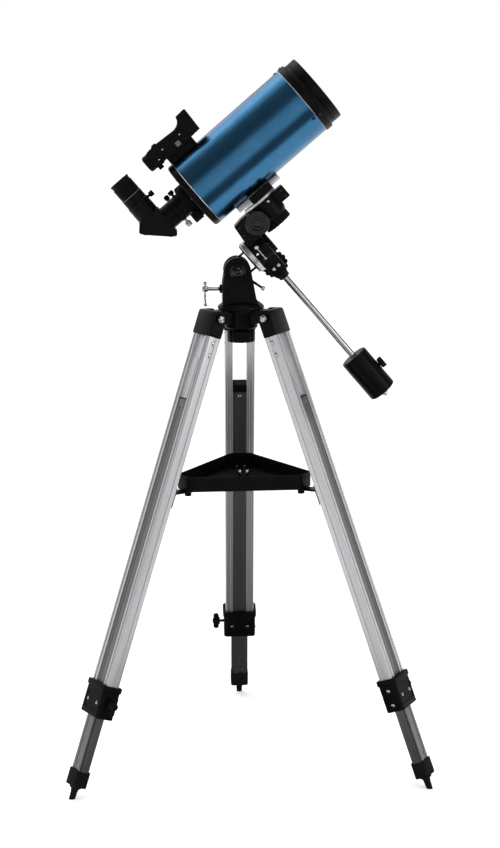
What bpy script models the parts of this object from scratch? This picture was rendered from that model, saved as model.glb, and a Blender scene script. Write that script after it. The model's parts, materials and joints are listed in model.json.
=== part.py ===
"""Small Maksutov telescope on an equatorial mount and an aluminium tripod.

Frame: metres, +Z up, the object stands on Z = 0. The side of the mount faces -Y, and the tube
points up towards +X. Lengths below are in metres, written as numbers of millimetres times MM.
"""

import math

import bmesh
import bpy
from mathutils import Matrix, Vector

MM = 0.001
GAP = 0.3 * MM

# Whole object: the tripod's axis, placed so that the object's box is centred on the origin.
TRIPOD_X = 0.0 * MM
TRIPOD_Y = -71.4 * MM

# Tripod
LEGS = {"back": 90.0, "left": 210.0, "right": 330.0}
LEG_TILT = math.radians(20.27)
LEG_PIVOT_RADIUS = 49.8 * MM
LEG_PIVOT_HEIGHT = 690.0 * MM
LEG_LENGTH = 735.5 * MM
RAIL_WIDTH = 12.0 * MM
RAIL_DEPTH = 20.5 * MM
RAIL_GAP = 22.0 * MM
RAIL_START = 28.3 * MM
RAIL_END = 600.0 * MM
CHANNEL_DEPTH = 3.0 * MM
CHANNEL_WIDTH = 12.4 * MM
INNER_LEG_START = 138.0 * MM
INNER_LEG_END = 699.5 * MM
INNER_LEG_DEPTH = 17.6 * MM
CLAMP_START = 560.0 * MM
CLAMP_END = 608.0 * MM
FOOT_START = 691.0 * MM
FOOT_END = 716.0 * MM
HUB_TOP = 700.0 * MM
HUB_BOTTOM = 671.0 * MM
HUB_RADIUS = 24.5 * MM
LUG_WIDTH = 22.0 * MM
CASTING_WIDTH = 48.0 * MM
CASTING_TOP = 701.5 * MM
BOLT_RADIUS = 4.0 * MM
TRAY_TOP = 459.0 * MM
TRAY_HEIGHT = 22.0 * MM
TRAY_REACH = 106.0 * MM
TRAY_CORNER = 33.0 * MM
TRAY_WALL = 2.4 * MM

# Equatorial head. Its own frame has u up the polar axis, v along +Y and w up the declination axis.
LATITUDE = math.radians(40.0)
HEAD_X = 31.0 * MM
HEAD_Z = 787.2 * MM
PIVOT_U = -47.0 * MM
DEC_U = 45.0 * MM
CHEEK_WIDTH = 42.0 * MM
YOKE_WIDTH = 22.0 * MM
CIRCLE_RADIUS = 26.5 * MM
DEC_CIRCLE_RADIUS = 28.0 * MM
POLAR_SHAFT_RADIUS = 9.7 * MM
DEC_SHAFT_RADIUS = 8.9 * MM
WORM_W = -33.0 * MM
WORM_SHAFT_RADIUS = 2.5 * MM
DEC_WORM_U = 21.0 * MM
DEC_WORM_W = 35.2 * MM
WEIGHT_SHAFT_RADIUS = 4.8 * MM
WEIGHT_RADIUS = 21.4 * MM
WEIGHT_TOP = -211.5 * MM
WEIGHT_LENGTH = 70.0 * MM

# Telescope tube, in the head's frame
TUBE_W = 124.7 * MM
TUBE_RADIUS = 55.0 * MM
TUBE_WALL = 1.8 * MM
TUBE_REAR = -16.7 * MM
TUBE_FRONT = 184.7 * MM
FRONT_END = 215.0 * MM
CELL_REAR = -27.5 * MM
VISUAL_BACK_END = -60.5 * MM
NOSE_RADIUS = 15.7 * MM
EYEPIECE_U = -92.3 * MM
HOLDER_TOP = 171.0 * MM
EYEPIECE_TOP = 212.0 * MM

BLACK = (0.012, 0.012, 0.013)
MATERIALS = {
    "black_paint": (BLACK, 0.0, 0.35),
    "black_plastic": ((0.016, 0.016, 0.017), 0.0, 0.5),
    "aluminium": ((0.62, 0.63, 0.64), 1.0, 0.32),
    "chrome": ((0.75, 0.75, 0.76), 1.0, 0.12),
    "silver_paint": ((0.7, 0.69, 0.67), 0.3, 0.4),
    "blue_paint": ((0.045, 0.13, 0.28), 0.4, 0.3),
    "glass": ((0.35, 0.45, 0.42), 0.0, 0.03),
    "mirror": ((0.9, 0.9, 0.92), 1.0, 0.02),
}

PERMUTE_YZX = Matrix(((0, 0, 1, 0), (1, 0, 0, 0), (0, 1, 0, 0), (0, 0, 0, 1)))
Z_TO_X = Matrix.Rotation(math.radians(90), 4, "Y")
Z_TO_Y = Matrix.Rotation(math.radians(-90), 4, "X")
XY_TO_XZ = Matrix.Rotation(math.radians(90), 4, "X")


def clear_scene():
    for obj in list(bpy.data.objects):
        bpy.data.objects.remove(obj, do_unlink=True)


def new_collection(name, hidden=False):
    collection = bpy.data.collections.new(name)
    bpy.context.scene.collection.children.link(collection)
    collection.hide_render = hidden
    return collection


def make_materials():
    for name, (color, metallic, roughness) in MATERIALS.items():
        material = bpy.data.materials.new(name)
        material.use_nodes = True
        shader = material.node_tree.nodes["Principled BSDF"]
        shader.inputs["Base Color"].default_value = (*color, 1.0)
        shader.inputs["Metallic"].default_value = metallic
        shader.inputs["Roughness"].default_value = roughness


def place(name, mesh, frame, material):
    """Link a mesh as a part, or as a cutter when it has no material."""
    obj = bpy.data.objects.new(name, mesh)
    obj.matrix_world = frame
    if material:
        mesh.materials.append(bpy.data.materials[material])
        PARTS.objects.link(obj)
    else:
        obj.hide_render = True
        obj.display_type = "WIRE"
        CUTTERS.objects.link(obj)
    return obj


def mesh_of(bm, name):
    bmesh.ops.recalc_face_normals(bm, faces=bm.faces)
    mesh = bpy.data.meshes.new(name)
    bm.to_mesh(mesh)
    bm.free()
    return mesh


def bevelled(obj, width, segments=2):
    modifier = obj.modifiers.new("bevel", "BEVEL")
    modifier.width = width
    modifier.segments = segments
    modifier.limit_method = "ANGLE"
    modifier.angle_limit = math.radians(50)
    return obj


def box(name, low, high, frame, material=None, bevel=0.0):
    bm = bmesh.new()
    bmesh.ops.create_cube(bm, size=1.0)
    size = [b - a for a, b in zip(low, high)]
    centre = [(a + b) / 2 for a, b in zip(low, high)]
    bmesh.ops.scale(bm, vec=size, verts=bm.verts)
    bmesh.ops.translate(bm, vec=centre, verts=bm.verts)
    obj = place(name, mesh_of(bm, name), frame, material)
    return bevelled(obj, bevel) if bevel else obj


def cylinder(name, radius, low, high, frame, material=None, segments=20):
    """A cylinder along the frame's Z, from low to high."""
    bm = bmesh.new()
    bmesh.ops.create_cone(
        bm,
        cap_ends=True,
        segments=segments,
        radius1=radius,
        radius2=radius,
        depth=high - low,
    )
    bmesh.ops.translate(bm, vec=(0, 0, (low + high) / 2), verts=bm.verts)
    mesh = mesh_of(bm, name)
    smooth(mesh)
    return place(name, mesh, frame, material)


def ball(name, radius, centre, frame, material=None):
    bm = bmesh.new()
    bmesh.ops.create_uvsphere(bm, u_segments=10, v_segments=6, radius=radius)
    bmesh.ops.translate(bm, vec=centre, verts=bm.verts)
    mesh = mesh_of(bm, name)
    smooth(mesh)
    return place(name, mesh, frame, material)


def smooth(mesh):
    mesh.shade_smooth()
    mesh.set_sharp_from_angle(angle=math.radians(40))


def turned(name, profile, frame, material=None, steps=28, closed=False):
    """Turn (radius, height) points about the frame's Z. They run down the outer side."""
    bm = bmesh.new()
    points = [bm.verts.new((radius, 0, height)) for radius, height in profile]
    for first, second in zip(points, points[1:]):
        bm.edges.new((first, second))
    if closed:
        bm.edges.new((points[-1], points[0]))
    mesh = bpy.data.meshes.new(name)
    bm.to_mesh(mesh)
    bm.free()
    obj = place(name, mesh, frame, material)
    screw = obj.modifiers.new("screw", "SCREW")
    screw.steps = steps
    screw.render_steps = steps
    screw.use_merge_vertices = True
    screw.merge_threshold = 0.00001
    return obj


def extruded(name, outlines, low, high, frame, material=None, bevel=0.0):
    """Extrude closed outlines in the frame's XY plane along its Z. Inner outlines are holes."""
    curve = bpy.data.curves.new(name, "CURVE")
    curve.dimensions = "2D"
    curve.fill_mode = "BOTH"
    curve.extrude = (high - low) / 2
    for outline in outlines:
        spline = curve.splines.new("POLY")
        spline.points.add(len(outline) - 1)
        for point, (x, y) in zip(spline.points, outline):
            point.co = (x, y, 0, 1)
        spline.use_cyclic_u = True
    guide = bpy.data.objects.new(name + ".guide", curve)
    bpy.context.scene.collection.objects.link(guide)
    graph = bpy.context.evaluated_depsgraph_get()
    mesh = bpy.data.meshes.new_from_object(guide.evaluated_get(graph))
    bpy.data.objects.remove(guide)
    bpy.data.curves.remove(curve)
    bm = bmesh.new()
    bm.from_mesh(mesh)
    bpy.data.meshes.remove(mesh)
    bmesh.ops.remove_doubles(bm, verts=bm.verts, dist=0.000001)
    bmesh.ops.translate(bm, vec=(0, 0, (low + high) / 2), verts=bm.verts)
    obj = place(name, mesh_of(bm, name), frame, material)
    return bevelled(obj, bevel, 1) if bevel else obj


def boolean(obj, tools, operation):
    for tool in tools:
        modifier = obj.modifiers.new(operation.lower(), "BOOLEAN")
        modifier.operation = operation
        modifier.object = tool
        modifier.solver = "EXACT"
    return obj


def cut(obj, *tools):
    return boolean(obj, tools, "DIFFERENCE")


def join(obj, *tools):
    return boolean(obj, tools, "UNION")


def arc(cx, cy, radius, start, end, count):
    """Points on a circle from one angle in degrees to another."""
    angles = [math.radians(start + (end - start) * i / (count - 1)) for i in range(count)]
    return [(cx + radius * math.cos(a), cy + radius * math.sin(a)) for a in angles]


def rounded(width, height, radius, cx=0.0, cy=0.0, count=3):
    """A rectangle's outline with round corners."""
    x = width / 2 - radius
    y = height / 2 - radius
    corners = ((x, y, 0), (-x, y, 90), (-x, -y, 180), (x, -y, 270))
    points = []
    for px, py, start in corners:
        points += arc(cx + px, cy + py, radius, start, start + 90, count)
    return points


def knurled(radius, depth, lobes):
    """The outline of a grip with shallow round flutes."""
    count = lobes * 3
    turns = [2 * math.pi * i / count for i in range(count)]
    radii = [radius - depth * (0.5 - 0.5 * math.cos(lobes * a)) for a in turns]
    return [(r * math.cos(a), r * math.sin(a)) for r, a in zip(radii, turns)]


def tripod_frame():
    return Matrix.Translation((TRIPOD_X, TRIPOD_Y, 0))


def leg_upright_frame(azimuth):
    """X outwards from the tripod's axis and Z up."""
    return tripod_frame() @ Matrix.Rotation(math.radians(azimuth), 4, "Z")


def leg_frame(azimuth):
    """Origin on the hinge, X across the leg, Y towards the tripod's axis, Z up the leg."""
    turn = Matrix.Rotation(math.radians(azimuth + 90), 4, "Z")
    tilt = Matrix.Rotation(-LEG_TILT, 4, "X")
    along = math.radians(azimuth)
    pivot = Vector((math.cos(along), math.sin(along), 0)) * LEG_PIVOT_RADIUS
    pivot.z = LEG_PIVOT_HEIGHT
    return tripod_frame() @ Matrix.Translation(pivot) @ turn @ tilt


def head_frame(u=0.0, v=0.0, w=0.0):
    """The equatorial head's frame, moved to a point of it."""
    tilt = Matrix.Rotation(-LATITUDE, 4, "Y")
    crossing = Matrix.Translation((TRIPOD_X + HEAD_X, TRIPOD_Y, HEAD_Z))
    return crossing @ tilt @ Matrix.Translation((u, v, w))


def lug_outline(grow):
    """Side of the hub's lug: X outwards, Y up, round about the hinge bolt."""
    end = arc(LEG_PIVOT_RADIUS, LEG_PIVOT_HEIGHT, 8 * MM + grow, 80, -90, 9)
    top = HUB_TOP + (6 * MM if grow else 0)
    bottom = HUB_BOTTOM + 7 * MM - grow
    return [(16 * MM, bottom), (16 * MM, top), (end[0][0], top)] + end


def tripod_hub():
    frame = tripod_frame()
    profile = [
        (5 * MM, HUB_TOP),
        (29 * MM, HUB_TOP),
        (30 * MM, HUB_TOP - 1 * MM),
        (30 * MM, HUB_TOP - 3.5 * MM),
        (HUB_RADIUS, HUB_TOP - 5.5 * MM),
        (HUB_RADIUS, HUB_BOTTOM + 3 * MM),
        (HUB_RADIUS - 3 * MM, HUB_BOTTOM),
        (5 * MM, HUB_BOTTOM),
    ]
    hub = turned("tripod_hub", profile, frame, "black_paint", 32, closed=True)
    for name, azimuth in LEGS.items():
        upright = leg_upright_frame(azimuth)
        side = upright @ XY_TO_XZ
        half = LUG_WIDTH / 2
        join(hub, extruded("lug_" + name, [lug_outline(0)], -half, half, side))
        across = leg_frame(azimuth) @ Z_TO_X
        bore = BOLT_RADIUS + GAP
        cut(hub, cylinder("lug_bore_" + name, bore, -half * 2, half * 2, across, segments=16))


def azimuth_lock_knob():
    frame = tripod_frame()
    top = HUB_BOTTOM - GAP
    bottom = top - 20 * MM
    knob = extruded(
        "azimuth_lock_knob", [knurled(20.5 * MM, 1.2 * MM, 12)], bottom, top - 3 * MM,
        frame, "black_plastic",
    )
    screw = [
        (0, HUB_TOP + 16 * MM),
        (4.2 * MM, HUB_TOP + 15 * MM),
        (4.7 * MM, HUB_TOP + 14 * MM),
        (4.7 * MM, top - 0.5 * MM),
        (13 * MM, top - 0.5 * MM),
        (14 * MM, top - 4 * MM),
        (0, top - 6 * MM),
    ]
    join(knob, turned("azimuth_screw", screw, frame, steps=20))


def leg_casting(name, azimuth):
    """The black casting that hinges a leg to the hub, with tongues for the two rails."""
    frame = leg_frame(azimuth)
    side = frame @ PERMUTE_YZX
    rise = CASTING_TOP - LEG_PIVOT_HEIGHT
    outward = -11.5 * MM
    inward = 10.0 * MM
    foot = -28.0 * MM

    def top_at(y):
        return (rise + math.sin(LEG_TILT) * y) / math.cos(LEG_TILT)

    outline = [(outward, foot), (inward, foot)]
    outline += arc(0, 0, inward, 0, 52, 5)
    outline += [(6.2 * MM, top_at(6.2 * MM)), (-8.5 * MM, top_at(-8.5 * MM)), (outward, 2 * MM)]
    half = CASTING_WIDTH / 2
    casting = extruded(
        "leg_casting_" + name, [outline], -half, half, side, "black_paint", 1.0 * MM
    )
    across = frame @ Z_TO_X
    boss = half + 1.3 * MM
    join(casting, cylinder("boss_" + name, 7.6 * MM, -boss, boss, across))
    for sign in (-1, 1):
        inner, outer = sorted((sign * 11.6 * MM, sign * 13.6 * MM))
        low = (inner, -5.7 * MM, -62 * MM)
        high = (outer, 5.7 * MM, foot + 4 * MM)
        join(casting, box(f"tongue_{name}_{sign}", low, high, frame))
    slot = lug_outline(1.2 * MM)
    width = LUG_WIDTH / 2 + 0.4 * MM
    upright = leg_upright_frame(azimuth) @ XY_TO_XZ
    cut(casting, extruded("slot_" + name, [slot], -width, width, upright))
    cut(casting, cylinder("bore_" + name, BOLT_RADIUS + GAP, -40 * MM, 40 * MM, across, segments=16))


def hinge_bolt(name, azimuth):
    face = CASTING_WIDTH / 2 + 1.6 * MM
    head = [(0, face + 3.2 * MM), (4.2 * MM, face + 2.8 * MM), (5.8 * MM, face + 1.4 * MM)]
    head += [(5.8 * MM, face), (BOLT_RADIUS, face)]
    profile = head + [(radius, -height) for radius, height in reversed(head)]
    turned("hinge_bolt_" + name, profile, leg_frame(azimuth) @ Z_TO_X, "chrome", 14)


def rail_outline():
    """One of a leg's two rails, at +X: grooves outside and a channel for the inner leg."""
    near = RAIL_GAP / 2
    far = near + RAIL_WIDTH
    half = RAIL_DEPTH / 2
    groove = 1.1 * MM
    channel = CHANNEL_WIDTH / 2
    mid = (near + far) / 2
    quarter = [
        (near, channel),
        (near, half),
        (mid - 1.6 * MM, half),
        (mid - 1.6 * MM, half - groove),
        (mid + 1.6 * MM, half - groove),
        (mid + 1.6 * MM, half),
        (far - 1.5 * MM, half),
        (far, half - 1.5 * MM),
        (far, 2.2 * MM),
        (far - groove, 2.2 * MM),
    ]
    below = [(x, -y) for x, y in reversed(quarter)]
    return quarter + below + [(near + CHANNEL_DEPTH, -channel), (near + CHANNEL_DEPTH, channel)]


def leg_rails(name, azimuth):
    outline = rail_outline()
    mirrored = [(-x, y) for x, y in outline]
    for side, points in (("a", outline), ("b", mirrored)):
        extruded(
            f"outer_rail_{name}_{side}", [points], -RAIL_END, -RAIL_START,
            leg_frame(azimuth), "aluminium",
        )


def inner_leg(name, azimuth):
    body = RAIL_GAP / 2 - GAP
    tongue = body + CHANNEL_DEPTH
    reach = CHANNEL_WIDTH / 2 - 0.3 * MM
    half = INNER_LEG_DEPTH / 2
    corner = [
        (tongue, reach), (body, reach), (body, half),
        (2.6 * MM, half), (2.6 * MM, half - 1 * MM),
    ]
    outline = corner + [(-x, y) for x, y in reversed(corner)]
    outline += [(-x, -y) for x, y in corner] + [(x, -y) for x, y in reversed(corner)]
    wall = 2 * MM
    hollow = [(body - wall, half - 2 * wall), (wall - body, half - 2 * wall)]
    hollow += [(wall - body, 2 * wall - half), (body - wall, 2 * wall - half)]
    extruded(
        "inner_leg_" + name, [outline, hollow], -INNER_LEG_END, -INNER_LEG_START,
        leg_frame(azimuth), "aluminium",
    )


def leg_clamp(name, azimuth):
    """The collar at the end of the rails, which the inner leg slides through."""
    frame = leg_frame(azimuth)
    body = extruded(
        "leg_clamp_" + name, [rounded(52 * MM, 29 * MM, 4 * MM)], -CLAMP_END, -CLAMP_START,
        frame, "black_plastic", 0.8 * MM,
    )
    rim = rounded(55 * MM, 32 * MM, 4.5 * MM)
    join(body, extruded("rim_" + name, [rim], -CLAMP_START - 7 * MM, -CLAMP_START + 1 * MM, frame))
    wide = RAIL_GAP / 2 + RAIL_WIDTH + 0.4 * MM
    deep = RAIL_DEPTH / 2 + 0.4 * MM
    narrow = RAIL_GAP / 2 + CHANNEL_DEPTH + 0.4 * MM
    thin = INNER_LEG_DEPTH / 2 + 0.4 * MM
    low = (-wide, -deep, -RAIL_END - 0.6 * MM)
    high = (wide, deep, -CLAMP_START + 5 * MM)
    cut(body, box("rail_pocket_" + name, low, high, frame))
    low = (-narrow, -thin, -CLAMP_END - 5 * MM)
    high = (narrow, thin, -CLAMP_START)
    cut(body, box("leg_pocket_" + name, low, high, frame))
    middle = -(CLAMP_START + CLAMP_END) / 2
    across = frame @ Matrix.Translation((0, 0, middle)) @ Z_TO_X
    cut(body, cylinder("clamp_bore_" + name, 2.6 * MM, 15 * MM, 40 * MM, across, segments=20))


def leg_clamp_knob(name, azimuth):
    middle = -(CLAMP_START + CLAMP_END) / 2
    frame = leg_frame(azimuth) @ Matrix.Translation((0, 0, middle))
    across = frame @ Z_TO_X
    outline = arc(0, 10 * MM, 4.5 * MM, -20, 200, 6) + arc(0, -10 * MM, 4.5 * MM, 160, 380, 6)
    wing_frame = frame @ Matrix.Translation((39 * MM, 0, 0)) @ XY_TO_XZ
    knob = extruded(
        "leg_clamp_knob_" + name, [outline], -2.6 * MM, 2.6 * MM, wing_frame,
        "black_plastic",
    )
    shank = [
        (0, 45 * MM), (4.5 * MM, 44 * MM), (5.5 * MM, 42 * MM), (6.5 * MM, 33 * MM),
        (2.2 * MM, 32.5 * MM), (2.2 * MM, 23.6 * MM), (0, 23.6 * MM),
    ]
    join(knob, turned("shank_" + name, shank, across, steps=16))


def foot(name, azimuth):
    frame = leg_frame(azimuth)
    block = extruded(
        "foot_" + name, [rounded(29 * MM, 22 * MM, 4 * MM)], -FOOT_END, -FOOT_START,
        frame, "black_plastic", 1.2 * MM,
    )
    tip = [
        (0, -FOOT_END + 3 * MM),
        (9 * MM, -FOOT_END + 3 * MM),
        (9 * MM, -FOOT_END - 1 * MM),
        (6 * MM, -FOOT_END - 4 * MM),
        (5 * MM, -FOOT_END - 9 * MM),
        (4.4 * MM, -LEG_LENGTH - 4 * MM),
        (0, -LEG_LENGTH - 4 * MM),
    ]
    join(block, turned("tip_" + name, tip, frame, steps=20))
    wide = RAIL_GAP / 2 + CHANNEL_DEPTH + 0.1 * MM
    deep = INNER_LEG_DEPTH / 2 + 0.3 * MM
    low = (-wide, -deep, -INNER_LEG_END - GAP)
    high = (wide, deep, -FOOT_START + 5 * MM)
    cut(block, box("foot_pocket_" + name, low, high, frame))
    reach = 0.6
    cut(block, box("floor_" + name, (-reach, -reach, -0.1), (reach, reach, 0), Matrix()))


def tray_outline(inset):
    """Triangle with its three corners cut off square to the legs."""
    points = []
    reach = TRAY_REACH - inset
    half = TRAY_CORNER / 2 - inset * 0.6
    for azimuth in LEGS.values():
        a = math.radians(azimuth)
        for side in (-half, half):
            x = reach * math.cos(a) - side * math.sin(a)
            y = reach * math.sin(a) + side * math.cos(a)
            points.append((x, y))
    return points


def accessory_tray():
    frame = tripod_frame()
    floor = TRAY_TOP - TRAY_HEIGHT
    tray = extruded(
        "accessory_tray", [tray_outline(0)], floor, TRAY_TOP, frame, "black_plastic", 1 * MM
    )
    inside = tray_outline(TRAY_WALL)
    cut(tray, extruded("tray_inside", [inside], floor + 3 * MM, TRAY_TOP + 5 * MM, frame))


def tray_bracket(name, azimuth):
    """The strap on a leg's inner face and the tab that carries a corner of the tray."""
    frame = leg_frame(azimuth)
    upright = leg_upright_frame(azimuth)
    face = RAIL_DEPTH / 2 + GAP
    strap = box(
        "tray_bracket_" + name, (-21 * MM, face, -285 * MM), (21 * MM, face + 2 * MM, -255 * MM),
        frame, "black_paint", 0.5 * MM,
    )
    top = TRAY_TOP - TRAY_HEIGHT - GAP
    tab_low = (88 * MM, -11 * MM, top - 2 * MM)
    tab_high = (131 * MM, 11 * MM, top)
    join(strap, box("tab_" + name, tab_low, tab_high, upright))
    leg_low = (-30 * MM, face - 25 * MM, -320 * MM)
    leg_high = (30 * MM, face, -220 * MM)
    cut(strap, box("leg_clearance_" + name, leg_low, leg_high, frame))


def mount_base():
    """The tower: a round foot on the hub and two cheeks that hold the polar head."""
    frame = tripod_frame()
    bottom = HUB_TOP + GAP
    foot_profile = [
        (0, bottom + 12 * MM),
        (27 * MM, bottom + 10 * MM),
        (34.5 * MM, bottom + 4 * MM),
        (34.5 * MM, bottom),
        (0, bottom),
    ]
    side = frame @ XY_TO_XZ
    pivot = pivot_point()
    cheek = arc(pivot.x, pivot.z, 20 * MM, 15, 190, 13)
    outline = cheek + [
        (-27.5 * MM, 737 * MM), (-27.5 * MM, 704 * MM), (28 * MM, 704 * MM), (22.5 * MM, 716 * MM),
    ]
    half = CHEEK_WIDTH / 2
    base = extruded("mount_base", [outline], -half, half, side, "black_paint", 1.2 * MM)
    join(base, turned("base_foot", foot_profile, frame, steps=32))
    slot = [
        (-21.5 * MM, 722 * MM), (60 * MM, 722 * MM), (60 * MM, 800 * MM),
        (-60 * MM, 800 * MM), (-60 * MM, 738 * MM), (-21.5 * MM, 738 * MM),
    ]
    width = YOKE_WIDTH / 2 + 0.4 * MM
    cut(base, extruded("yoke_slot", [slot], -width, width, side))
    panel = [(-21 * MM, 711 * MM), (19 * MM, 711 * MM), (13 * MM, 734 * MM), (-21 * MM, 734 * MM)]
    for sign in (-1, 1):
        low, high = sorted((sign * (half - 1.2 * MM), sign * (half + 3 * MM)))
        cut(base, extruded(f"panel_{sign}", [panel], low, high, side))
    across = frame @ Matrix.Translation(pivot) @ Z_TO_Y
    cut(base, cylinder("pivot_bore", 5.3 * MM, -30 * MM, 30 * MM, across))
    cut(base, cylinder("screw_bore", 5.2 * MM, bottom - 5 * MM, bottom + 17 * MM, frame))
    along = frame @ Matrix.Translation((0, 0, 729.7 * MM)) @ Z_TO_X
    cut(base, cylinder("t_bolt_bore", 3.3 * MM, -40 * MM, -15 * MM, along, segments=20))


def pivot_point():
    """The latitude pivot, measured from the tripod's axis."""
    return Vector((
        HEAD_X + PIVOT_U * math.cos(LATITUDE), 0, HEAD_Z + PIVOT_U * math.sin(LATITUDE)
    ))


def latitude_pivot_bolt():
    frame = tripod_frame() @ Matrix.Translation(pivot_point()) @ Z_TO_Y
    half = CHEEK_WIDTH / 2
    front = -half - 6.5 * MM
    profile = [
        (0, half + 6 * MM),
        (6.5 * MM, half + 5.5 * MM),
        (7.5 * MM, half + 4 * MM),
        (7.5 * MM, half + GAP),
        (5 * MM, half + GAP),
        (5 * MM, front),
        (9 * MM, front),
        (8.6 * MM, front - 2.6 * MM),
        (6 * MM, front - 5.2 * MM),
        (0, front - 6.4 * MM),
    ]
    turned("latitude_pivot_bolt", profile, frame, "chrome", 20)


def latitude_lock_lever():
    pivot = pivot_point()
    frame = tripod_frame() @ Matrix.Translation(pivot)
    high = -CHEEK_WIDTH / 2 - 1.2 * MM
    low = high - 5 * MM
    ring = [(5.4 * MM, high), (10.5 * MM, high), (10.5 * MM, low), (5.4 * MM, low)]
    lever = turned(
        "latitude_lock_lever", ring, frame @ Z_TO_Y, "black_paint", 24, closed=True
    )
    ball_at = Vector((32 * MM, 0, 732 * MM)) - pivot
    reach = ball_at.length
    aim = Vector((0, 0, 1)).rotation_difference(ball_at).to_matrix().to_4x4()
    arm_frame = frame @ Matrix.Translation((0, (low + high) / 2, 0)) @ aim
    join(lever, cylinder("arm", 2.1 * MM, 8 * MM, reach, arm_frame, segments=14))
    join(lever, ball("arm_ball", 3.5 * MM, (0, 0, reach), arm_frame))


def latitude_t_bolt():
    frame = tripod_frame() @ Matrix.Translation((0, 0, 729.7 * MM))
    along = frame @ Z_TO_X
    profile = [
        (0, -22.5 * MM), (2.4 * MM, -22.5 * MM), (2.9 * MM, -23.5 * MM), (2.9 * MM, -48.5 * MM),
        (4.3 * MM, -49 * MM), (4.3 * MM, -56 * MM), (3.4 * MM, -57 * MM), (0, -57 * MM),
    ]
    bolt = turned("latitude_t_bolt", profile, along, "chrome", 20)
    upright = frame @ Matrix.Translation((-52.8 * MM, 0, 0))
    top = 8.5 * MM
    bottom = -23.5 * MM
    join(bolt, cylinder("t_bar", 1.5 * MM, bottom, top, upright, segments=12))
    for name, height in (("top", top), ("bottom", bottom)):
        join(bolt, ball("t_ball_" + name, 2.8 * MM, (0, 0, height), upright))


def polar_bracket():
    """Swings between the cheeks on the latitude pivot and carries the polar shaft."""
    half = YOKE_WIDTH / 2
    side = head_frame() @ XY_TO_XZ
    plate_low = -23.0 * MM
    plate_high = -21.2 * MM
    bracket = cylinder(
        "polar_bracket", 24.5 * MM, plate_low, plate_high, head_frame() @ Z_TO_X,
        "black_paint", 36,
    )
    boss = head_frame(PIVOT_U) @ Z_TO_Y
    join(bracket, cylinder("yoke_boss", 16.5 * MM, -half, half, boss, segments=28))
    for index, w in enumerate((13.2, -3.3, -15.2)):
        low = (PIVOT_U, (w - 1.7) * MM)
        high = (plate_high - 1 * MM, (w + 1.7) * MM)
        outline = [low, (high[0], low[1]), high, (low[0], high[1])]
        join(bracket, extruded(f"rib_{index}", [outline], -4 * MM, 4 * MM, side))
    pivot = tripod_frame() @ Matrix.Translation(pivot_point())
    tail = box("yoke_tail", (-8 * MM, -8 * MM, -29 * MM), (4 * MM, 8 * MM, -8 * MM), pivot)
    join(bracket, tail)
    cut(bracket, cylinder("yoke_bore", 5.3 * MM, -30 * MM, 30 * MM, boss))
    polar = head_frame() @ Z_TO_X
    cut(bracket, cylinder("plate_bore", POLAR_SHAFT_RADIUS + GAP, -40 * MM, -15 * MM, polar))


def polar_shaft():
    r = POLAR_SHAFT_RADIUS
    profile = [
        (0, 16 * MM), (r - 1 * MM, 16 * MM), (r, 15 * MM), (r, -22.6 * MM),
        (r - 1 * MM, -23.6 * MM), (0, -23.6 * MM),
    ]
    turned("polar_shaft", profile, head_frame() @ Z_TO_X, "chrome", 32)


def ra_setting_circle():
    bore = POLAR_SHAFT_RADIUS + GAP
    r = CIRCLE_RADIUS
    profile = [
        (bore, -13 * MM), (r - 0.8 * MM, -13 * MM), (r, -13.8 * MM), (r, -20.1 * MM),
        (r - 0.8 * MM, -20.9 * MM), (bore, -20.9 * MM),
    ]
    turned("ra_setting_circle", profile, head_frame() @ Z_TO_X, "silver_paint", 32, closed=True)


def polar_lock_nut():
    bore = POLAR_SHAFT_RADIUS + GAP
    polar = head_frame() @ Z_TO_X
    grip = [knurled(16 * MM, 1 * MM, 14)]
    nut = extruded("polar_lock_nut", grip, 12.4 * MM, 19.5 * MM, polar, "black_paint")
    cut(nut, cylinder("nut_pocket", bore, 5 * MM, 16.4 * MM, polar))


def ra_housing():
    """Turns on the polar shaft. The counterweight's shaft screws into its lower end."""
    polar = head_frame() @ Z_TO_X
    drum = [
        (0, 12 * MM), (22.5 * MM, 12 * MM), (24.5 * MM, 10 * MM), (24.5 * MM, -11.7 * MM),
        (23.5 * MM, -12.7 * MM), (0, -12.7 * MM),
    ]
    housing = turned("ra_housing", drum, polar, "black_paint", 32)
    side = head_frame() @ XY_TO_XZ
    outline = [
        (-12.7 * MM, -2 * MM), (-12.7 * MM, -40 * MM), (-8 * MM, -50 * MM), (8 * MM, -50 * MM),
        (12 * MM, -40 * MM), (12 * MM, -2 * MM),
    ]
    join(housing, extruded("worm_block", [outline], -17 * MM, 17 * MM, side, bevel=1.2 * MM))
    bore = POLAR_SHAFT_RADIUS + GAP
    cut(housing, cylinder("polar_bore", bore, -20 * MM, 20 * MM, polar))
    worm = head_frame(0, 0, WORM_W) @ Z_TO_Y
    cut(housing, cylinder("worm_bore", WORM_SHAFT_RADIUS + GAP, -8 * MM, 30 * MM, worm, segments=20))
    lower = head_frame()
    cut(housing, cylinder("weight_bore", WEIGHT_SHAFT_RADIUS + GAP, -60 * MM, -38.5 * MM, lower))
    lever = head_frame(-3 * MM, 0, 9 * MM) @ Z_TO_Y
    cut(housing, cylinder("lever_bore", 2.3 * MM, -40 * MM, -18 * MM, lever, segments=16))


def ra_slow_motion_knob():
    frame = head_frame(0, 0, WORM_W) @ Z_TO_Y
    grip = [knurled(19.5 * MM, 1.3 * MM, 18)]
    knob = extruded(
        "ra_slow_motion_knob", grip, 21.5 * MM, 31.5 * MM, frame, "black_plastic"
    )
    shaft = [
        (0, 33.5 * MM), (7 * MM, 33 * MM), (8 * MM, 30.5 * MM), (8 * MM, 17.6 * MM),
        (WORM_SHAFT_RADIUS, 17.6 * MM), (WORM_SHAFT_RADIUS, -6 * MM), (0, -6 * MM),
    ]
    join(knob, turned("ra_worm_shaft", shaft, frame, steps=18))


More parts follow.
